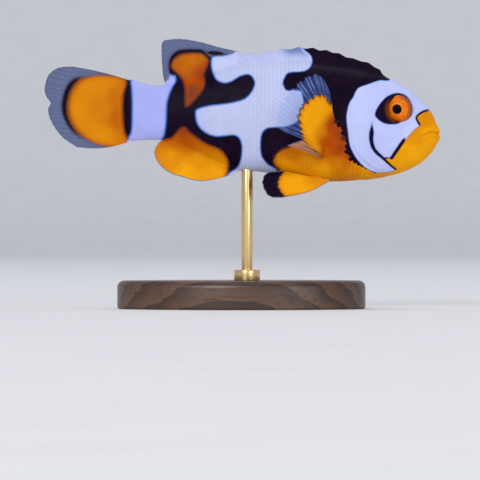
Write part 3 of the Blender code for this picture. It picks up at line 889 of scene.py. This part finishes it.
def lay_scales(name, rows, start, end, plump, kept, cuts, lift, rim, sizes, colours):
    """A coat of scales: columns from start to end, rows round the body, each laid over the one behind it.

    plump is how long the shown part of a scale is against its width, kept tells by its root which to keep,
    cuts is how finely each is divided, lift how far its free edge stands up and rim how dark the painted
    shade on that edge is.
    """
    pattern, faces = one_scale(cuts)
    across, along, layer = pattern[:, 0], pattern[:, 1] + 0.5, pattern[:, 2]
    sides = (2 * across) ** 2
    reach = along * (1 - SCALE_ROUND * sides)
    under = np.where(layer < -0.5, -sizes.scale_thickness, 0)
    behinds, arounds, lifts, patches = [], [], [], []
    at, column = start, 0
    rng = np.random.default_rng(7)
    while at < end:
        girth, angle = even_angles(at)
        pitch = plump * girth / rows
        for share in (np.arange(rows) + 0.5 * (column % 2)) / rows:
            if not kept(at, angle(share)):
                continue
            wider, longer, higher = rng.normal(0, 0.03, 3)
            behinds.append(at + reach * pitch * SCALE_LENGTH * (1 + longer))
            arounds.append(angle(share + across * (SCALE_WIDTH + wider) / rows))
            rise = (reach * (1 + higher * 3) - SCALE_ARCH * sides - SCALE_SUNK) * lift
            lifts.append((rise + under) / MM)
            patches.append((at / SKIN_END, share % 1.0))
        at += pitch
        column += 1
    points, left = surface(np.concatenate(behinds), np.concatenate(arounds), np.concatenate(lifts), sizes)
    count, corners = len(patches), len(pattern)
    all_faces = (faces[None] + (np.arange(count) * corners)[:, None, None]).reshape(-1, 4)
    mesh = bpy.data.meshes.new(name)
    mesh.from_pydata((points * MM).tolist(), [], all_faces.tolist())
    coat = bpy.data.objects.new(name, mesh)
    bpy.context.scene.collection.objects.link(coat)

    # Behind the gill cover each scale is mostly of one colour where orange meets black
    marks = marks_at(points, leftness_at(points, left))
    orange = marks["orange"].reshape(count, corners)
    whole = 0.3 + 0.65 * smooth(20, 18, SNOUT_X - points[:, 0]).reshape(count, corners)
    marks["orange"] = (orange + (orange.mean(axis=1, keepdims=True) - orange) * whole).ravel()
    # Each scale's free edge gets painted shade, as strong as rim says
    rim_shade = np.maximum(along, 2 * np.abs(across)) > 0.9
    store(mesh, rim=np.tile(rim_shade * rim, count), **marks)
    add_coat_map(mesh, np.array(patches), across, pattern[:, 1], corners)
    face_outwards(coat)
    settle(coat, skin_material(name, colours, 0.36))
    bpy.ops.object.shade_smooth_by_angle(angle=math.radians(35))


def add_coat_map(mesh, patches, across, along, corners, patch=0.003, margin=0.02):
    """The coat's map: each scale is a small patch at its root's place on an unwrap of the skin."""
    layer = mesh.uv_layers.new(name="OFBake")
    vertex = np.empty(len(mesh.loops), np.int32)
    mesh.loops.foreach_get("vertex_index", vertex)
    place = margin + (1 - 2 * margin) * patches[vertex // corners]
    u = place[:, 0] + patch * along[vertex % corners]
    v = place[:, 1] + patch * across[vertex % corners]
    layer.data.foreach_set("uv", np.stack([u, v], axis=-1).astype(np.float32).ravel())


class FISH_OT_scales(bpy.types.Operator):
    """Solid scales over the skin: a coat on each flank, in two halves, and small scales on the head"""

    bl_idname = "fish.scales"
    bl_label = "Scales"

    START, HALFWAY, END = 8.6, 34.0, SKIN_END - 1.4
    HEAD_START, HEAD_END = 5.6, 16.5

    def execute(self, context):
        sizes, colours = context.scene.fish_sizes, context.scene.fish_colours

        def on_flank(side, start, end):
            def kept(behind, around):
                on_half = start <= behind < end and math.cos(around) * side >= 0
                return on_half and behind > gill_edge(math.sin(around)) + 0.05
            return kept

        def on_head(behind, around):
            place = np.array([behind + 0.3])
            _, height = body_place(place, np.array([around]))
            return behind < gill_edge(math.sin(around)) - 1.0 and scaled_share(place, height)[0] > 0.9

        for side, flank_name in SIDE_NAMES.items():
            for half, start, end in (("front", self.START, self.HALFWAY), ("rear", self.HALFWAY, self.END)):
                lay_scales(f"scales_{flank_name}_{half}", sizes.scale_rows, self.START, self.END, 0.78,
                           on_flank(side, start, end), 4, sizes.lift, 1.0, sizes, colours)
        lay_scales("scales_head", sizes.cheek_rows, self.HEAD_START, self.HEAD_END, 0.9, on_head, 3,
                   sizes.cheek_lift, 0.42, sizes, colours)
        return {"FINISHED"}


# ---- fins


CUTS_PER_RAY = 8


def ray_ridges(across, out, rays, branches):
    """1 on a ray and 0 between two rays. A branching ray parts in two, and then in four, on its way out."""
    phase = across * (rays - 1)
    off = phase - np.round(phase)
    width = (0.15 - 0.05 * out) * (1 - 0.4 * branches * smooth(0.4, 0.9, out))
    first = branches * 0.2 * smooth(0.3, 0.8, out)
    second = branches * 0.1 * smooth(0.68, 0.95, out)
    return np.max([bump(off - a * first - b * second, width) for a in (-1, 1) for b in (-1, 1)], axis=0)


def grow_fin(name, root, tip, lean, rays, rows, sizes, branches=1.0, bow=(0, 0), notch=0.0, foot=0.35,
             fray=0.0):
    """A fin from its root line to its tip line, as a solid sheet with raised rays.

    lean(across, out) is its offset to the left, bow how far the first and last ray arch up, notch how deep
    the membrane is cut back between spines, foot how much thicker it is at its root, in mm, and fray how far
    each ray's tip stands out of the edge.
    """
    deselect()
    bpy.ops.mesh.primitive_grid_add(x_subdivisions=(rays - 1) * CUTS_PER_RAY, y_subdivisions=rows, size=1)
    fin = named(name)
    flat = read_points(fin.data)
    across, out = flat[:, 0] + 0.5, flat[:, 1] + 0.5
    phase = across * (rays - 1)
    ridge = ray_ridges(across, out, rays, branches)
    spread = np.abs(phase - np.round(phase)) * 2
    (root_behind, root_height), (tip_behind, tip_height) = root(across), tip(across)
    reach = out * (1 - notch * spread * out**2 - fray * (1 - ridge) * out**6)
    behind = root_behind + (tip_behind - root_behind) * reach
    height = root_height + (tip_height - root_height) * reach
    height += (bow[0] * (1 - across) + bow[1] * across) * np.sin(math.pi * out)
    pleat = sizes.pleat / MM * smooth(0.05, 0.5, out) * np.cos(2 * math.pi * phase)
    write_points(fin.data, bend(behind, lean(across, out) + pleat, height))
    store(fin.data, across=across, out=out, ray=ridge)

    thickness = (sizes.membrane + sizes.ray * ridge * (1 - 0.7 * out)) / MM + foot * (1 - out) ** 5
    group = fin.vertex_groups.new(name="thickness")
    for index, share in enumerate(thickness / thickness.max()):
        group.add([index], float(share), "REPLACE")
    solidify = fin.modifiers.new("Thickness", "SOLIDIFY")
    solidify.thickness = thickness.max() * MM
    solidify.offset = 0
    solidify.vertex_group = group.name
    solidify.thickness_vertex_group = 0.02
    solidify.use_quality_normals = True
    apply_modifiers(fin)
    face_outwards(fin)
    return fin


def read_attribute(mesh, name):
    values = np.empty(len(mesh.vertices), np.float32)
    mesh.attributes[name].data.foreach_get("value", values)
    return values.astype(float)


def facing_left(mesh):
    """Which points are on the fin's left face."""
    normals = np.empty(len(mesh.vertices) * 3, np.float32)
    mesh.vertices.foreach_get("normal", normals)
    return normals.reshape(-1, 3)[:, 1] > 0


def upright(across, out):
    return np.zeros_like(out)


def add_fin(context, names, finish, change, root, tip, rays, rows, lean=upright, side=None, **shape):
    """A fin with its finish, marked from the flank that each of its faces belongs to, or from one side.

    names are its piece and the node it stands for, finish its material's name and covers. change(marks, at)
    adjusts the marks, where at has every point's across, out, ray, seen distance, height and left.
    """
    piece, node = names
    fin = grow_fin(piece, root, tip, lean, rays, rows, context.scene.fin_sizes, **shape)
    points = read_points(fin.data) / MM
    left = facing_left(fin.data) if side is None else np.full(len(points), side > 0)
    seen = np.where(left[:, None], seen_from(points, 1), seen_from(points, 0))
    at = {name: read_attribute(fin.data, name) for name in ("across", "out", "ray")}
    marks = marks_at(points, left.astype(float))
    change(marks, SimpleNamespace(seen=seen[:, 0], height=seen[:, 1], left=left, **at))
    store(fin.data, **marks)
    material_name, *covers = finish
    settle(fin, fin_material(material_name, context.scene.fish_colours, *covers), (node,))


def foot_line(edge, sunk, start, end):
    """A fin's root line along the back or the belly, sunk into the body by so much."""
    def line(across):
        behind = start + (end - start) * across
        return behind, edge(behind) + sunk
    return line


class FISH_OT_dorsal_fins(bpy.types.Operator):
    """The dorsal fin: a spiny front half with notched skin between its spines, and a soft rear half"""

    bl_idname = "fish.dorsal_fins"
    bl_label = "Dorsal fin"

    SPINY_TIP = ((10.6, 42.4), (12.9, 43.75), (16.0, 44.6), (18.6, 45.55), (21.2, 46.05), (23.9, 46.4),
                 (27.0, 46.2), (30.2, 45.7), (33.2, 45.4), (35.9, 45.6))
    SOFT_TIP = ((35.7, 45.6), (39.0, 46.35), (42.2, 47.25), (45.4, 47.85), (47.6, 47.85), (49.15, 47.5),
                (49.4, 46.0), (49.3, 43.8), (49.1, 41.4))

    def execute(self, context):
        def spiny_marks(marks, at):
            fade = smooth(20, 24, at.seen) * (0.25 + 0.6 * smooth(29, 26, at.seen))
            marks["clear"] = 0.3 * fade * smooth(0.1, 1.0, at.out) * smooth(0, 0.5, marks["white"]) - 0.1

        def soft_marks(marks, at):
            marks["orange"] = np.minimum(marks["orange"], 0.25)
            marks["dark"] *= 0.4
            thin = np.maximum(0.5 * marks["clear"], (at.out - 0.96) * 5)
            marks["clear"] = np.minimum(thin, 0.1 - 2 * marks["dark"])

        add_fin(context, ("fin_dorsal_spiny", "dorsal_fin_spiny"),
                ("spiny fin", 0.95, 0.95, 0.0, (0.13, 0.20, 0.48)), spiny_marks,
                foot_line(back, -FIN_SUNK, 9.6, 35.6), outline(*self.SPINY_TIP), 11, 16,
                branches=0.0, notch=0.1, foot=1.4)
        add_fin(context, ("fin_dorsal_soft", "dorsal_fin_soft"), ("soft fin", 0.87, 0.92, 0.06), soft_marks,
                foot_line(back, -FIN_SUNK, 35.2, 48.5), outline(*self.SOFT_TIP), 18, 26, foot=1.2, fray=0.015)
        return {"FINISHED"}


class FISH_OT_tail_fins(bpy.types.Operator):
    """The anal fin, and the tail fin that grows from the scaly end of the stalk"""

    bl_idname = "fish.tail_fins"
    bl_label = "Anal and tail fins"

    ANAL_TIP = ((36.3, 23.85), (38.3, 23.35), (40.6, 22.8), (43.0, 22.65), (45.6, 23.3), (47.8, 24.05),
                (49.4, 25.2), (50.45, 26.7), (50.6, 28.2), (49.8, 29.5))
    TAIL_ROOT = ((54.0, 40.2), (54.3, 37.6), (54.5, 35.3), (54.3, 33.0), (54.0, 30.1))
    TAIL_TIP = ((65.3, 43.15), (67.9, 42.95), (69.7, 41.7), (70.4, 39.5), (70.2, 38.0), (69.35, 36.7),
                (69.8, 35.6), (69.5, 34.0), (68.4, 32.0), (66.9, 30.3), (64.6, 28.75))

    def execute(self, context):
        def anal_marks(marks, at):
            rim = (at.out - np.where(at.left, 0.83, 0.965)) * 5.0
            marks["clear"] = rim
            marks["dark"] = np.where(at.left, 0.22 - np.abs(rim + 0.25), -1.0)
            marks["white"] = np.where(at.seen > 47, -2.0, marks["white"])

        def tail_marks(marks, at):
            behind_stalk = smooth(62.0, 66.0, at.seen)
            arc = np.where(at.left, 0.35, behind_stalk * (0.85 + 0.35 * smooth(31.5, 36.0, at.height)))
            marks["clear"] = np.where(at.seen > 57.5, 0.4 * (-arc - marks["orange"]), -1.0)
            marks["orange"] *= 1 - 0.3 * smooth(58, 62, at.seen)
            marks["white"] = np.where(at.seen > 56.5, -2.0, marks["white"])

        add_fin(context, ("fin_anal", "anal_fin"), ("anal fin", 0.8, 0.9), anal_marks,
                foot_line(belly, FIN_SUNK, 35.4, 48.5), outline(*self.ANAL_TIP), 17, 24, foot=1.2, fray=0.01)
        add_fin(context, ("fin_caudal", "caudal_fin"), ("tail fin", 0.87, 0.92, 0.07), tail_marks,
                outline(*self.TAIL_ROOT), outline(*self.TAIL_TIP), 22, 40, bow=(0.28, -0.8), fray=0.008)
        return {"FINISHED"}


class FISH_OT_paired_fins(bpy.types.Operator):
    """The pectoral fins, fanned from the flanks, and the pelvic fins under the breast"""

    bl_idname = "fish.paired_fins"
    bl_label = "Paired fins"

    PECTORAL_ROOT = ((19.2, 33.3), (19.9, 31.2), (20.7, 28.9), (21.2, 26.7))
    # For each side, how far the pectoral fin flares out, its tip line and its orange patch
    PECTORALS = {
        -1: (4.0, (
            (20.4, 38.5), (20.9, 39.7), (21.7, 40.8), (22.9, 41.3), (24.9, 40.3), (26.7, 38.6), (28.1, 36.9),
            (29.0, 34.9), (29.2, 33.0), (28.9, 31.7), (26.8, 30.8), (24.9, 29.85), (26.2, 29.3),
            (27.4, 28.75),
        ), (
            (17.5, 36.4), (19.2, 36.3), (19.85, 36.9), (20.3, 37.6), (21.27, 37.8), (22.25, 37.56),
            (23.2, 36.83), (23.9, 36.25), (24.5, 35.5), (24.86, 34.56), (25.0, 33.6), (24.76, 32.65),
            (24.64, 31.67), (24.28, 30.24), (23.8, 29.28), (22.72, 28.32), (21.27, 26.9), (20, 25.5),
            (17.5, 25.5),
        )),
        1: (2.8, (
            (23.6, 38.6), (25.6, 39.4), (27.8, 38.6), (29.4, 36.6), (30.4, 34.0), (30.6, 31.4), (29.8, 29.0),
            (27.8, 27.2), (25.6, 26.2),
        ), (
            (18, 34), (20.3, 34.2), (21.6, 35.8), (23.7, 37.2), (25.9, 36.9), (27.3, 35.7), (27.9, 33.6),
            (27.9, 31.1), (27.2, 28.6), (26.0, 26.9), (24.0, 25.7), (21.0, 25.5), (18, 25.5),
        )),
    }
    RIGHT_PINK = ((26.94, 28.98), (24.23, 29.85), (23.9, 29.55), (21.02, 26.82), (22.0, 26.6), (26.94, 28.98))
    PELVIC_ROOT = ((19.6, 22.8), (20.9, 23.0), (22.1, 23.3))
    PELVIC_TIP = ((26.4, 20.15), (28.4, 19.75), (30.3, 20.0), (31.3, 21.4), (31.5, 22.8), (30.7, 24.0),
                  (28.4, 24.3))

    def pectoral(self, side, name, context):
        flare, tip, orange = self.PECTORALS[side]
        root = outline(*self.PECTORAL_ROOT)

        def lean(across, out):
            behind, height = root(across)
            middle, half, _ = section(behind)
            skin, _ = body_place(behind, np.arcsin(np.clip((height - middle) / half, -1, 1)))
            return side * (skin - 0.1 + (flare + 0.8) * out + 0.9 * np.sin(math.pi * out))

        def change(marks, at):
            places = np.stack([at.seen, at.height], axis=-1)
            inside = inside_by(places, rounded(orange)) + 0.5 * (at.ray - 0.5)
            pink = np.zeros_like(inside)
            if side < 0:
                pink = smooth(-0.1, 0.15, inside_by(places, np.array(self.RIGHT_PINK)))
            marks["pink"] = pink
            marks["orange"] = inside
            marks["white"] = np.full_like(inside, -3.0)
            marks["dark"] = np.where((inside < 0) & (pink < 0.5), inside + 0.22, -1)
            marks["clear"] = np.where(pink > 0.5, -1, -0.26 - inside)
            marks["gold"] += (1.0 - marks["gold"]) * smooth(0.02, 0.4, at.out)

        add_fin(context, ("fin_pectoral_" + name, "pectoral_fin_" + name),
                ("pectoral fin " + name, 0.07, 0.25, 0.3, (0.14, 0.30, 0.95)), change, root, outline(*tip),
                19, 40, lean, side, fray=0.05)

    def pelvic(self, side, name, context):
        def lean(across, out):
            return side * (1.7 + 2.1 * out + 0.5 * across * out)

        def change(marks, at):
            inside = 28.65 - 0.25 * (at.height - 22.2) ** 2 - at.seen + 0.3 * (at.ray - 0.5)
            marks["orange"] = np.maximum(inside, -1.5)
            marks["white"] = np.full_like(inside, -3.0)
            marks["dark"] = np.where(inside < 0, -inside - 0.1, -1)
            marks["clear"] = np.where(at.out > 0.97, 0.1, -1)
            marks["pink"] = 0.6 * smooth(0.09, 0.03, at.across) * smooth(-0.2, 0.2, inside)
            marks["gold"] = 0.6 + 0.4 * smooth(0.1, 0.5, at.out)

        add_fin(context, ("fin_pelvic_" + name, "pelvic_fin_" + name), ("pelvic fin " + name, 0.8, 0.9),
                change, outline(*self.PELVIC_ROOT), outline(*self.PELVIC_TIP), 9, 30, lean, side,
                bow=(-0.6, 0.0), foot=0.6, fray=0.02)

    def execute(self, context):
        for add in (self.pectoral, self.pelvic):
            for side, name in SIDE_NAMES.items():
                add(side, name, context)
        return {"FINISHED"}


# ---- eyes


class FISH_OT_eyes(bpy.types.Operator):
    """Both eyes: a lens-shaped ball with a domed pupil and a shallow iris"""

    bl_idname = "fish.eyes"
    bl_label = "Eyes"

    RADIUS = 2.4
    DEPTH = 1.45
    FORWARD, DOWN = math.radians(18), math.radians(5)
    SHIFT = (-0.08, 0, 0.17)
    # For each eye, how dark its rim is, how dark its shaded crescent, and the angle of the crescent's middle
    SHADING = {-1: (0.55, 1.0, 20), 1: (0.25, 0.4, 160)}

    def execute(self, context):
        for side, name in SIDE_NAMES.items():
            dark_rim, crescent, angle = self.SHADING[side]
            low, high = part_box("eye_" + name)
            deselect()
            bpy.ops.mesh.primitive_uv_sphere_add(segments=96, ring_count=64, radius=1)
            eye = named("eyeball_" + name)
            ball = read_points(eye.data)
            from_axis = np.hypot(ball[:, 0], ball[:, 1]) * self.RADIUS
            round_axis = np.arctan2(ball[:, 1], ball[:, 0] + 1e-9)
            outer = ball[:, 2] > 0
            cornea = 0.10 * smooth(0.95, 0.6, from_axis) - 0.09 * bump(from_axis - 1.25, 0.42)
            depth = ball[:, 2] * self.DEPTH + np.where(outer, cornea, 0)
            local = np.stack([ball[:, 0] * self.RADIUS, -depth, ball[:, 1] * self.RADIUS], axis=-1)
            turn = Matrix.Rotation(-self.FORWARD if side < 0 else math.pi + self.FORWARD, 3, "Z")
            spin = np.array(turn @ Matrix.Rotation(self.DOWN, 3, "X"))
            write_points(eye.data, local @ spin.T + np.array((low + high) / 2) / MM + self.SHIFT)
            store(eye.data, from_axis=np.where(outer, from_axis, self.RADIUS),
                  shadow=crescent * np.cos(round_axis - math.radians(angle)))
            face_outwards(eye)
            settle(eye, eye_material(context.scene.fish_colours, dark_rim), ("eye_" + name,))
        return {"FINISHED"}


# ---- stand


def turned(name, low, high, vertices):
    """A cylinder that fills the box from low to high, as a piece of this name."""
    deselect()
    bpy.ops.mesh.primitive_cylinder_add(vertices=vertices, radius=0.5, depth=1, end_fill_type="NGON")
    piece = named(name)
    piece.scale = high - low
    piece.location = (low + high) / 2
    bpy.ops.object.transform_apply(location=True, rotation=True, scale=True)
    return piece


def select_end(piece, up):
    """Leaves edit mode's selection on the faces of a piece's top (up 1) or foot (up -1)."""
    bpy.ops.object.mode_set(mode="OBJECT")
    for part in (piece.data.vertices, piece.data.edges, piece.data.polygons):
        part.foreach_set("select", [False] * len(part))
    for face in piece.data.polygons:
        face.select = face.normal.z * up > 0.9
    bpy.ops.object.mode_set(mode="EDIT")
    bpy.ops.mesh.select_mode(type="FACE")


def round_edges(piece, width):
    bevel = piece.modifiers.new("Edges", "BEVEL")
    bevel.width = width
    bevel.segments = 3
    bevel.limit_method = "ANGLE"
    apply_modifiers(piece)


class FISH_OT_stand(bpy.types.Operator):
    """The oval walnut base with a rounded upper edge, the brass rod and its collar"""

    bl_idname = "fish.stand"
    bl_label = "Stand"

    EDGE_STEPS = 7
    # How wide the flat ring on the collar's top is, against the collar's width
    COLLAR_RING = 0.17

    def base(self, sizes):
        low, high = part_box("stand_base")
        edge, foot = sizes.bevel, sizes.bevel / 4
        base = turned("plinth", low + Vector((0, 0, foot)), high - Vector((0, 0, edge)), 160)
        select_end(base, 1)
        for k in range(self.EDGE_STEPS):
            start, end = (math.pi / 2 * step / self.EDGE_STEPS for step in (k, k + 1))
            bpy.ops.mesh.inset(thickness=edge * (math.cos(start) - math.cos(end)), depth=0)
            bpy.ops.transform.translate(value=(0, 0, edge * (math.sin(end) - math.sin(start))))
        bpy.ops.mesh.inset(thickness=edge * 0.3, depth=0)
        bpy.ops.mesh.inset(thickness=edge * 5, depth=0)
        select_end(base, -1)
        bpy.ops.mesh.inset(thickness=foot, depth=0)
        bpy.ops.transform.translate(value=(0, 0, -foot))
        bpy.ops.object.mode_set(mode="OBJECT")
        face_outwards(base)
        settle(base, wood_material(sizes), ("stand_base",))
        bpy.ops.object.shade_smooth_by_angle(angle=math.radians(40))

    def rod(self, sizes):
        rod = turned("rod", *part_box("stand_rod"), 48)
        round_edges(rod, 0.15 * MM)
        settle(rod, brass_material(sizes, (1, 1, 0.03)), ("stand_rod",))

    def collar(self, sizes):
        low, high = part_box("stand_collar")
        low.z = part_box("stand_base")[1].z
        collar = turned("collar", low, high, 64)
        select_end(collar, 1)
        bpy.ops.mesh.inset(thickness=(high.x - low.x) * self.COLLAR_RING, depth=0)
        bpy.ops.object.mode_set(mode="OBJECT")
        round_edges(collar, 0.14 * MM)
        settle(collar, brass_material(sizes, (0.6, 0.6, 1)), ("stand_collar",))
        bpy.ops.object.shade_smooth_by_angle(angle=math.radians(40))

    def execute(self, context):
        for make in (self.base, self.rod, self.collar):
            make(context.scene.stand_sizes)
        return {"FINISHED"}


# ---- stage


class FISH_OT_stage(bpy.types.Operator):
    """A pale floor that curves up into a backdrop all round, soft studio lights and the camera"""

    bl_idname = "fish.stage"
    bl_label = "Stage"

    FLOOR_RADIUS, FLOOR_RIM = 2.6, 0.4
    # How much wider and how far up each step from the floor's edge to the backdrop goes
    COVE = ((1.06, 0.06), (1.05, 0.16), (1.02, 0.3), (1, 1.2))
    # Each lamp's name, place, size, power and tint
    LAMPS = (
        ("key", (-0.7, -2.0, 1.0), 1.2, 22, (1, 0.99, 0.98)),
        ("fill", (1.3, -1.8, 0.35), 1.4, 9, (0.97, 0.98, 1)),
        ("top", (0.2, 0.5, 2.1), 1.4, 10, (1, 1, 1)),
    )
    LAMPS_AIM = (0, 0, 0.03)
    SENSOR = 36

    def floor(self, colour):
        deselect()
        bpy.ops.mesh.primitive_circle_add(vertices=96, radius=self.FLOOR_RADIUS, fill_type="NGON")
        floor = named("floor")
        bpy.ops.object.mode_set(mode="EDIT")
        bpy.ops.mesh.inset(thickness=self.FLOOR_RIM, depth=0)
        bpy.ops.mesh.select_all(action="DESELECT")
        bpy.ops.object.mode_set(mode="OBJECT")
        for edge in floor.data.edges:
            nearest = min(floor.data.vertices[i].co.length for i in edge.vertices)
            edge.select = nearest > self.FLOOR_RADIUS - self.FLOOR_RIM / 2
        bpy.ops.object.mode_set(mode="EDIT")
        bpy.ops.mesh.select_mode(type="EDGE")
        for outward, up in self.COVE:
            bpy.ops.mesh.extrude_edges_move(TRANSFORM_OT_translate={"value": (0, 0, up)})
            bpy.ops.transform.resize(value=(outward, outward, 1), center_override=(0, 0, 0))
        bpy.ops.object.mode_set(mode="OBJECT")
        subdivide = floor.modifiers.new("Smooth", "SUBSURF")
        subdivide.levels = subdivide.render_levels = 2
        apply_modifiers(floor)
        floor.data.shade_smooth()
        shade = Shade("pale floor")
        shown = shade.mix(shade.ramp(shade.noise(60, 3), 0.3, 0.7, 0, 0.06), colour, (0.5, 0.5, 0.52))
        floor.data.materials.append(shade.set(Base_Color=shown, Roughness=0.7))
        floor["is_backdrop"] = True

    def execute(self, context):
        scene, sizes = context.scene, context.scene.stage_sizes
        self.floor(sizes.floor)
        for name, place, size, power, tint in self.LAMPS:
            data = bpy.data.lights.new(name, "AREA")
            data.shape, data.size, data.energy, data.color = "DISK", size, power, tint
            lamp = bpy.data.objects.new(name, data)
            scene.collection.objects.link(lamp)
            lamp.location = place
            lamp.rotation_euler = (Vector(self.LAMPS_AIM) - lamp.location).to_track_quat("-Z", "Y").to_euler()
        scene.world = bpy.data.worlds.new("studio")
        scene.world.use_nodes = True
        background = scene.world.node_tree.nodes["Background"]
        background.inputs["Color"].default_value = (0.9, 0.93, 1, 1)
        background.inputs["Strength"].default_value = 0.5
        scene.view_settings.view_transform = "Standard"

        camera = bpy.data.objects.new("camera", bpy.data.cameras.new("camera"))
        scene.collection.objects.link(camera)
        camera.data.sensor_width = self.SENSOR
        camera.data.lens = self.SENSOR * VIEW_FROM * MM / sizes.view_width
        camera.data.clip_start = 0.01
        camera.location = ((SNOUT_X - VIEW_MIDDLE[0]) * MM, -VIEW_FROM * MM, VIEW_MIDDLE[1] * MM)
        camera.rotation_euler = (math.radians(90), 0, 0)
        scene.camera = camera
        return {"FINISHED"}


# ---- panel and registration


OPERATORS = (
    FISH_OT_skin, FISH_OT_scales, FISH_OT_dorsal_fins, FISH_OT_tail_fins, FISH_OT_paired_fins, FISH_OT_eyes,
    FISH_OT_stand, FISH_OT_stage,
)
SETTINGS = {
    "fish_sizes": FishSizes, "fin_sizes": FinSizes, "fish_colours": FishColours, "stand_sizes": StandSizes,
    "stage_sizes": StageSizes,
}


class FISH_PT_panel(bpy.types.Panel):
    """Lists the fish's settings and the operators that build it"""

    bl_label = "Clownfish"
    bl_space_type = "VIEW_3D"
    bl_region_type = "UI"
    bl_category = "Clownfish"

    def draw(self, context):
        for name in SETTINGS:
            box = self.layout.box()
            group = getattr(context.scene, name)
            for key in group.__annotations__:
                box.prop(group, key)
        for operator in OPERATORS:
            self.layout.operator(operator.bl_idname)


def register():
    for name, group in SETTINGS.items():
        bpy.utils.register_class(group)
        setattr(bpy.types.Scene, name, PointerProperty(type=group))
    for made in (*OPERATORS, FISH_PT_panel):
        bpy.utils.register_class(made)


def unregister():
    for made in reversed((*OPERATORS, FISH_PT_panel)):
        bpy.utils.unregister_class(made)
    for name, group in SETTINGS.items():
        delattr(bpy.types.Scene, name)
        bpy.utils.unregister_class(group)


def main():
    register()
    cad_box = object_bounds()
    bpy.ops.fish.skin()
    bpy.ops.fish.scales()
    bpy.ops.fish.dorsal_fins()
    bpy.ops.fish.tail_fins()
    bpy.ops.fish.paired_fins()
    bpy.ops.fish.eyes()
    bpy.ops.fish.stand()
    bpy.ops.fish.stage()
    boxes = {"cad": cad_box, "visual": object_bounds()}
    {name: [[float(x) for x in corner] for corner in box] for name, box in boxes.items()}


if __name__ == "__main__":
    main()
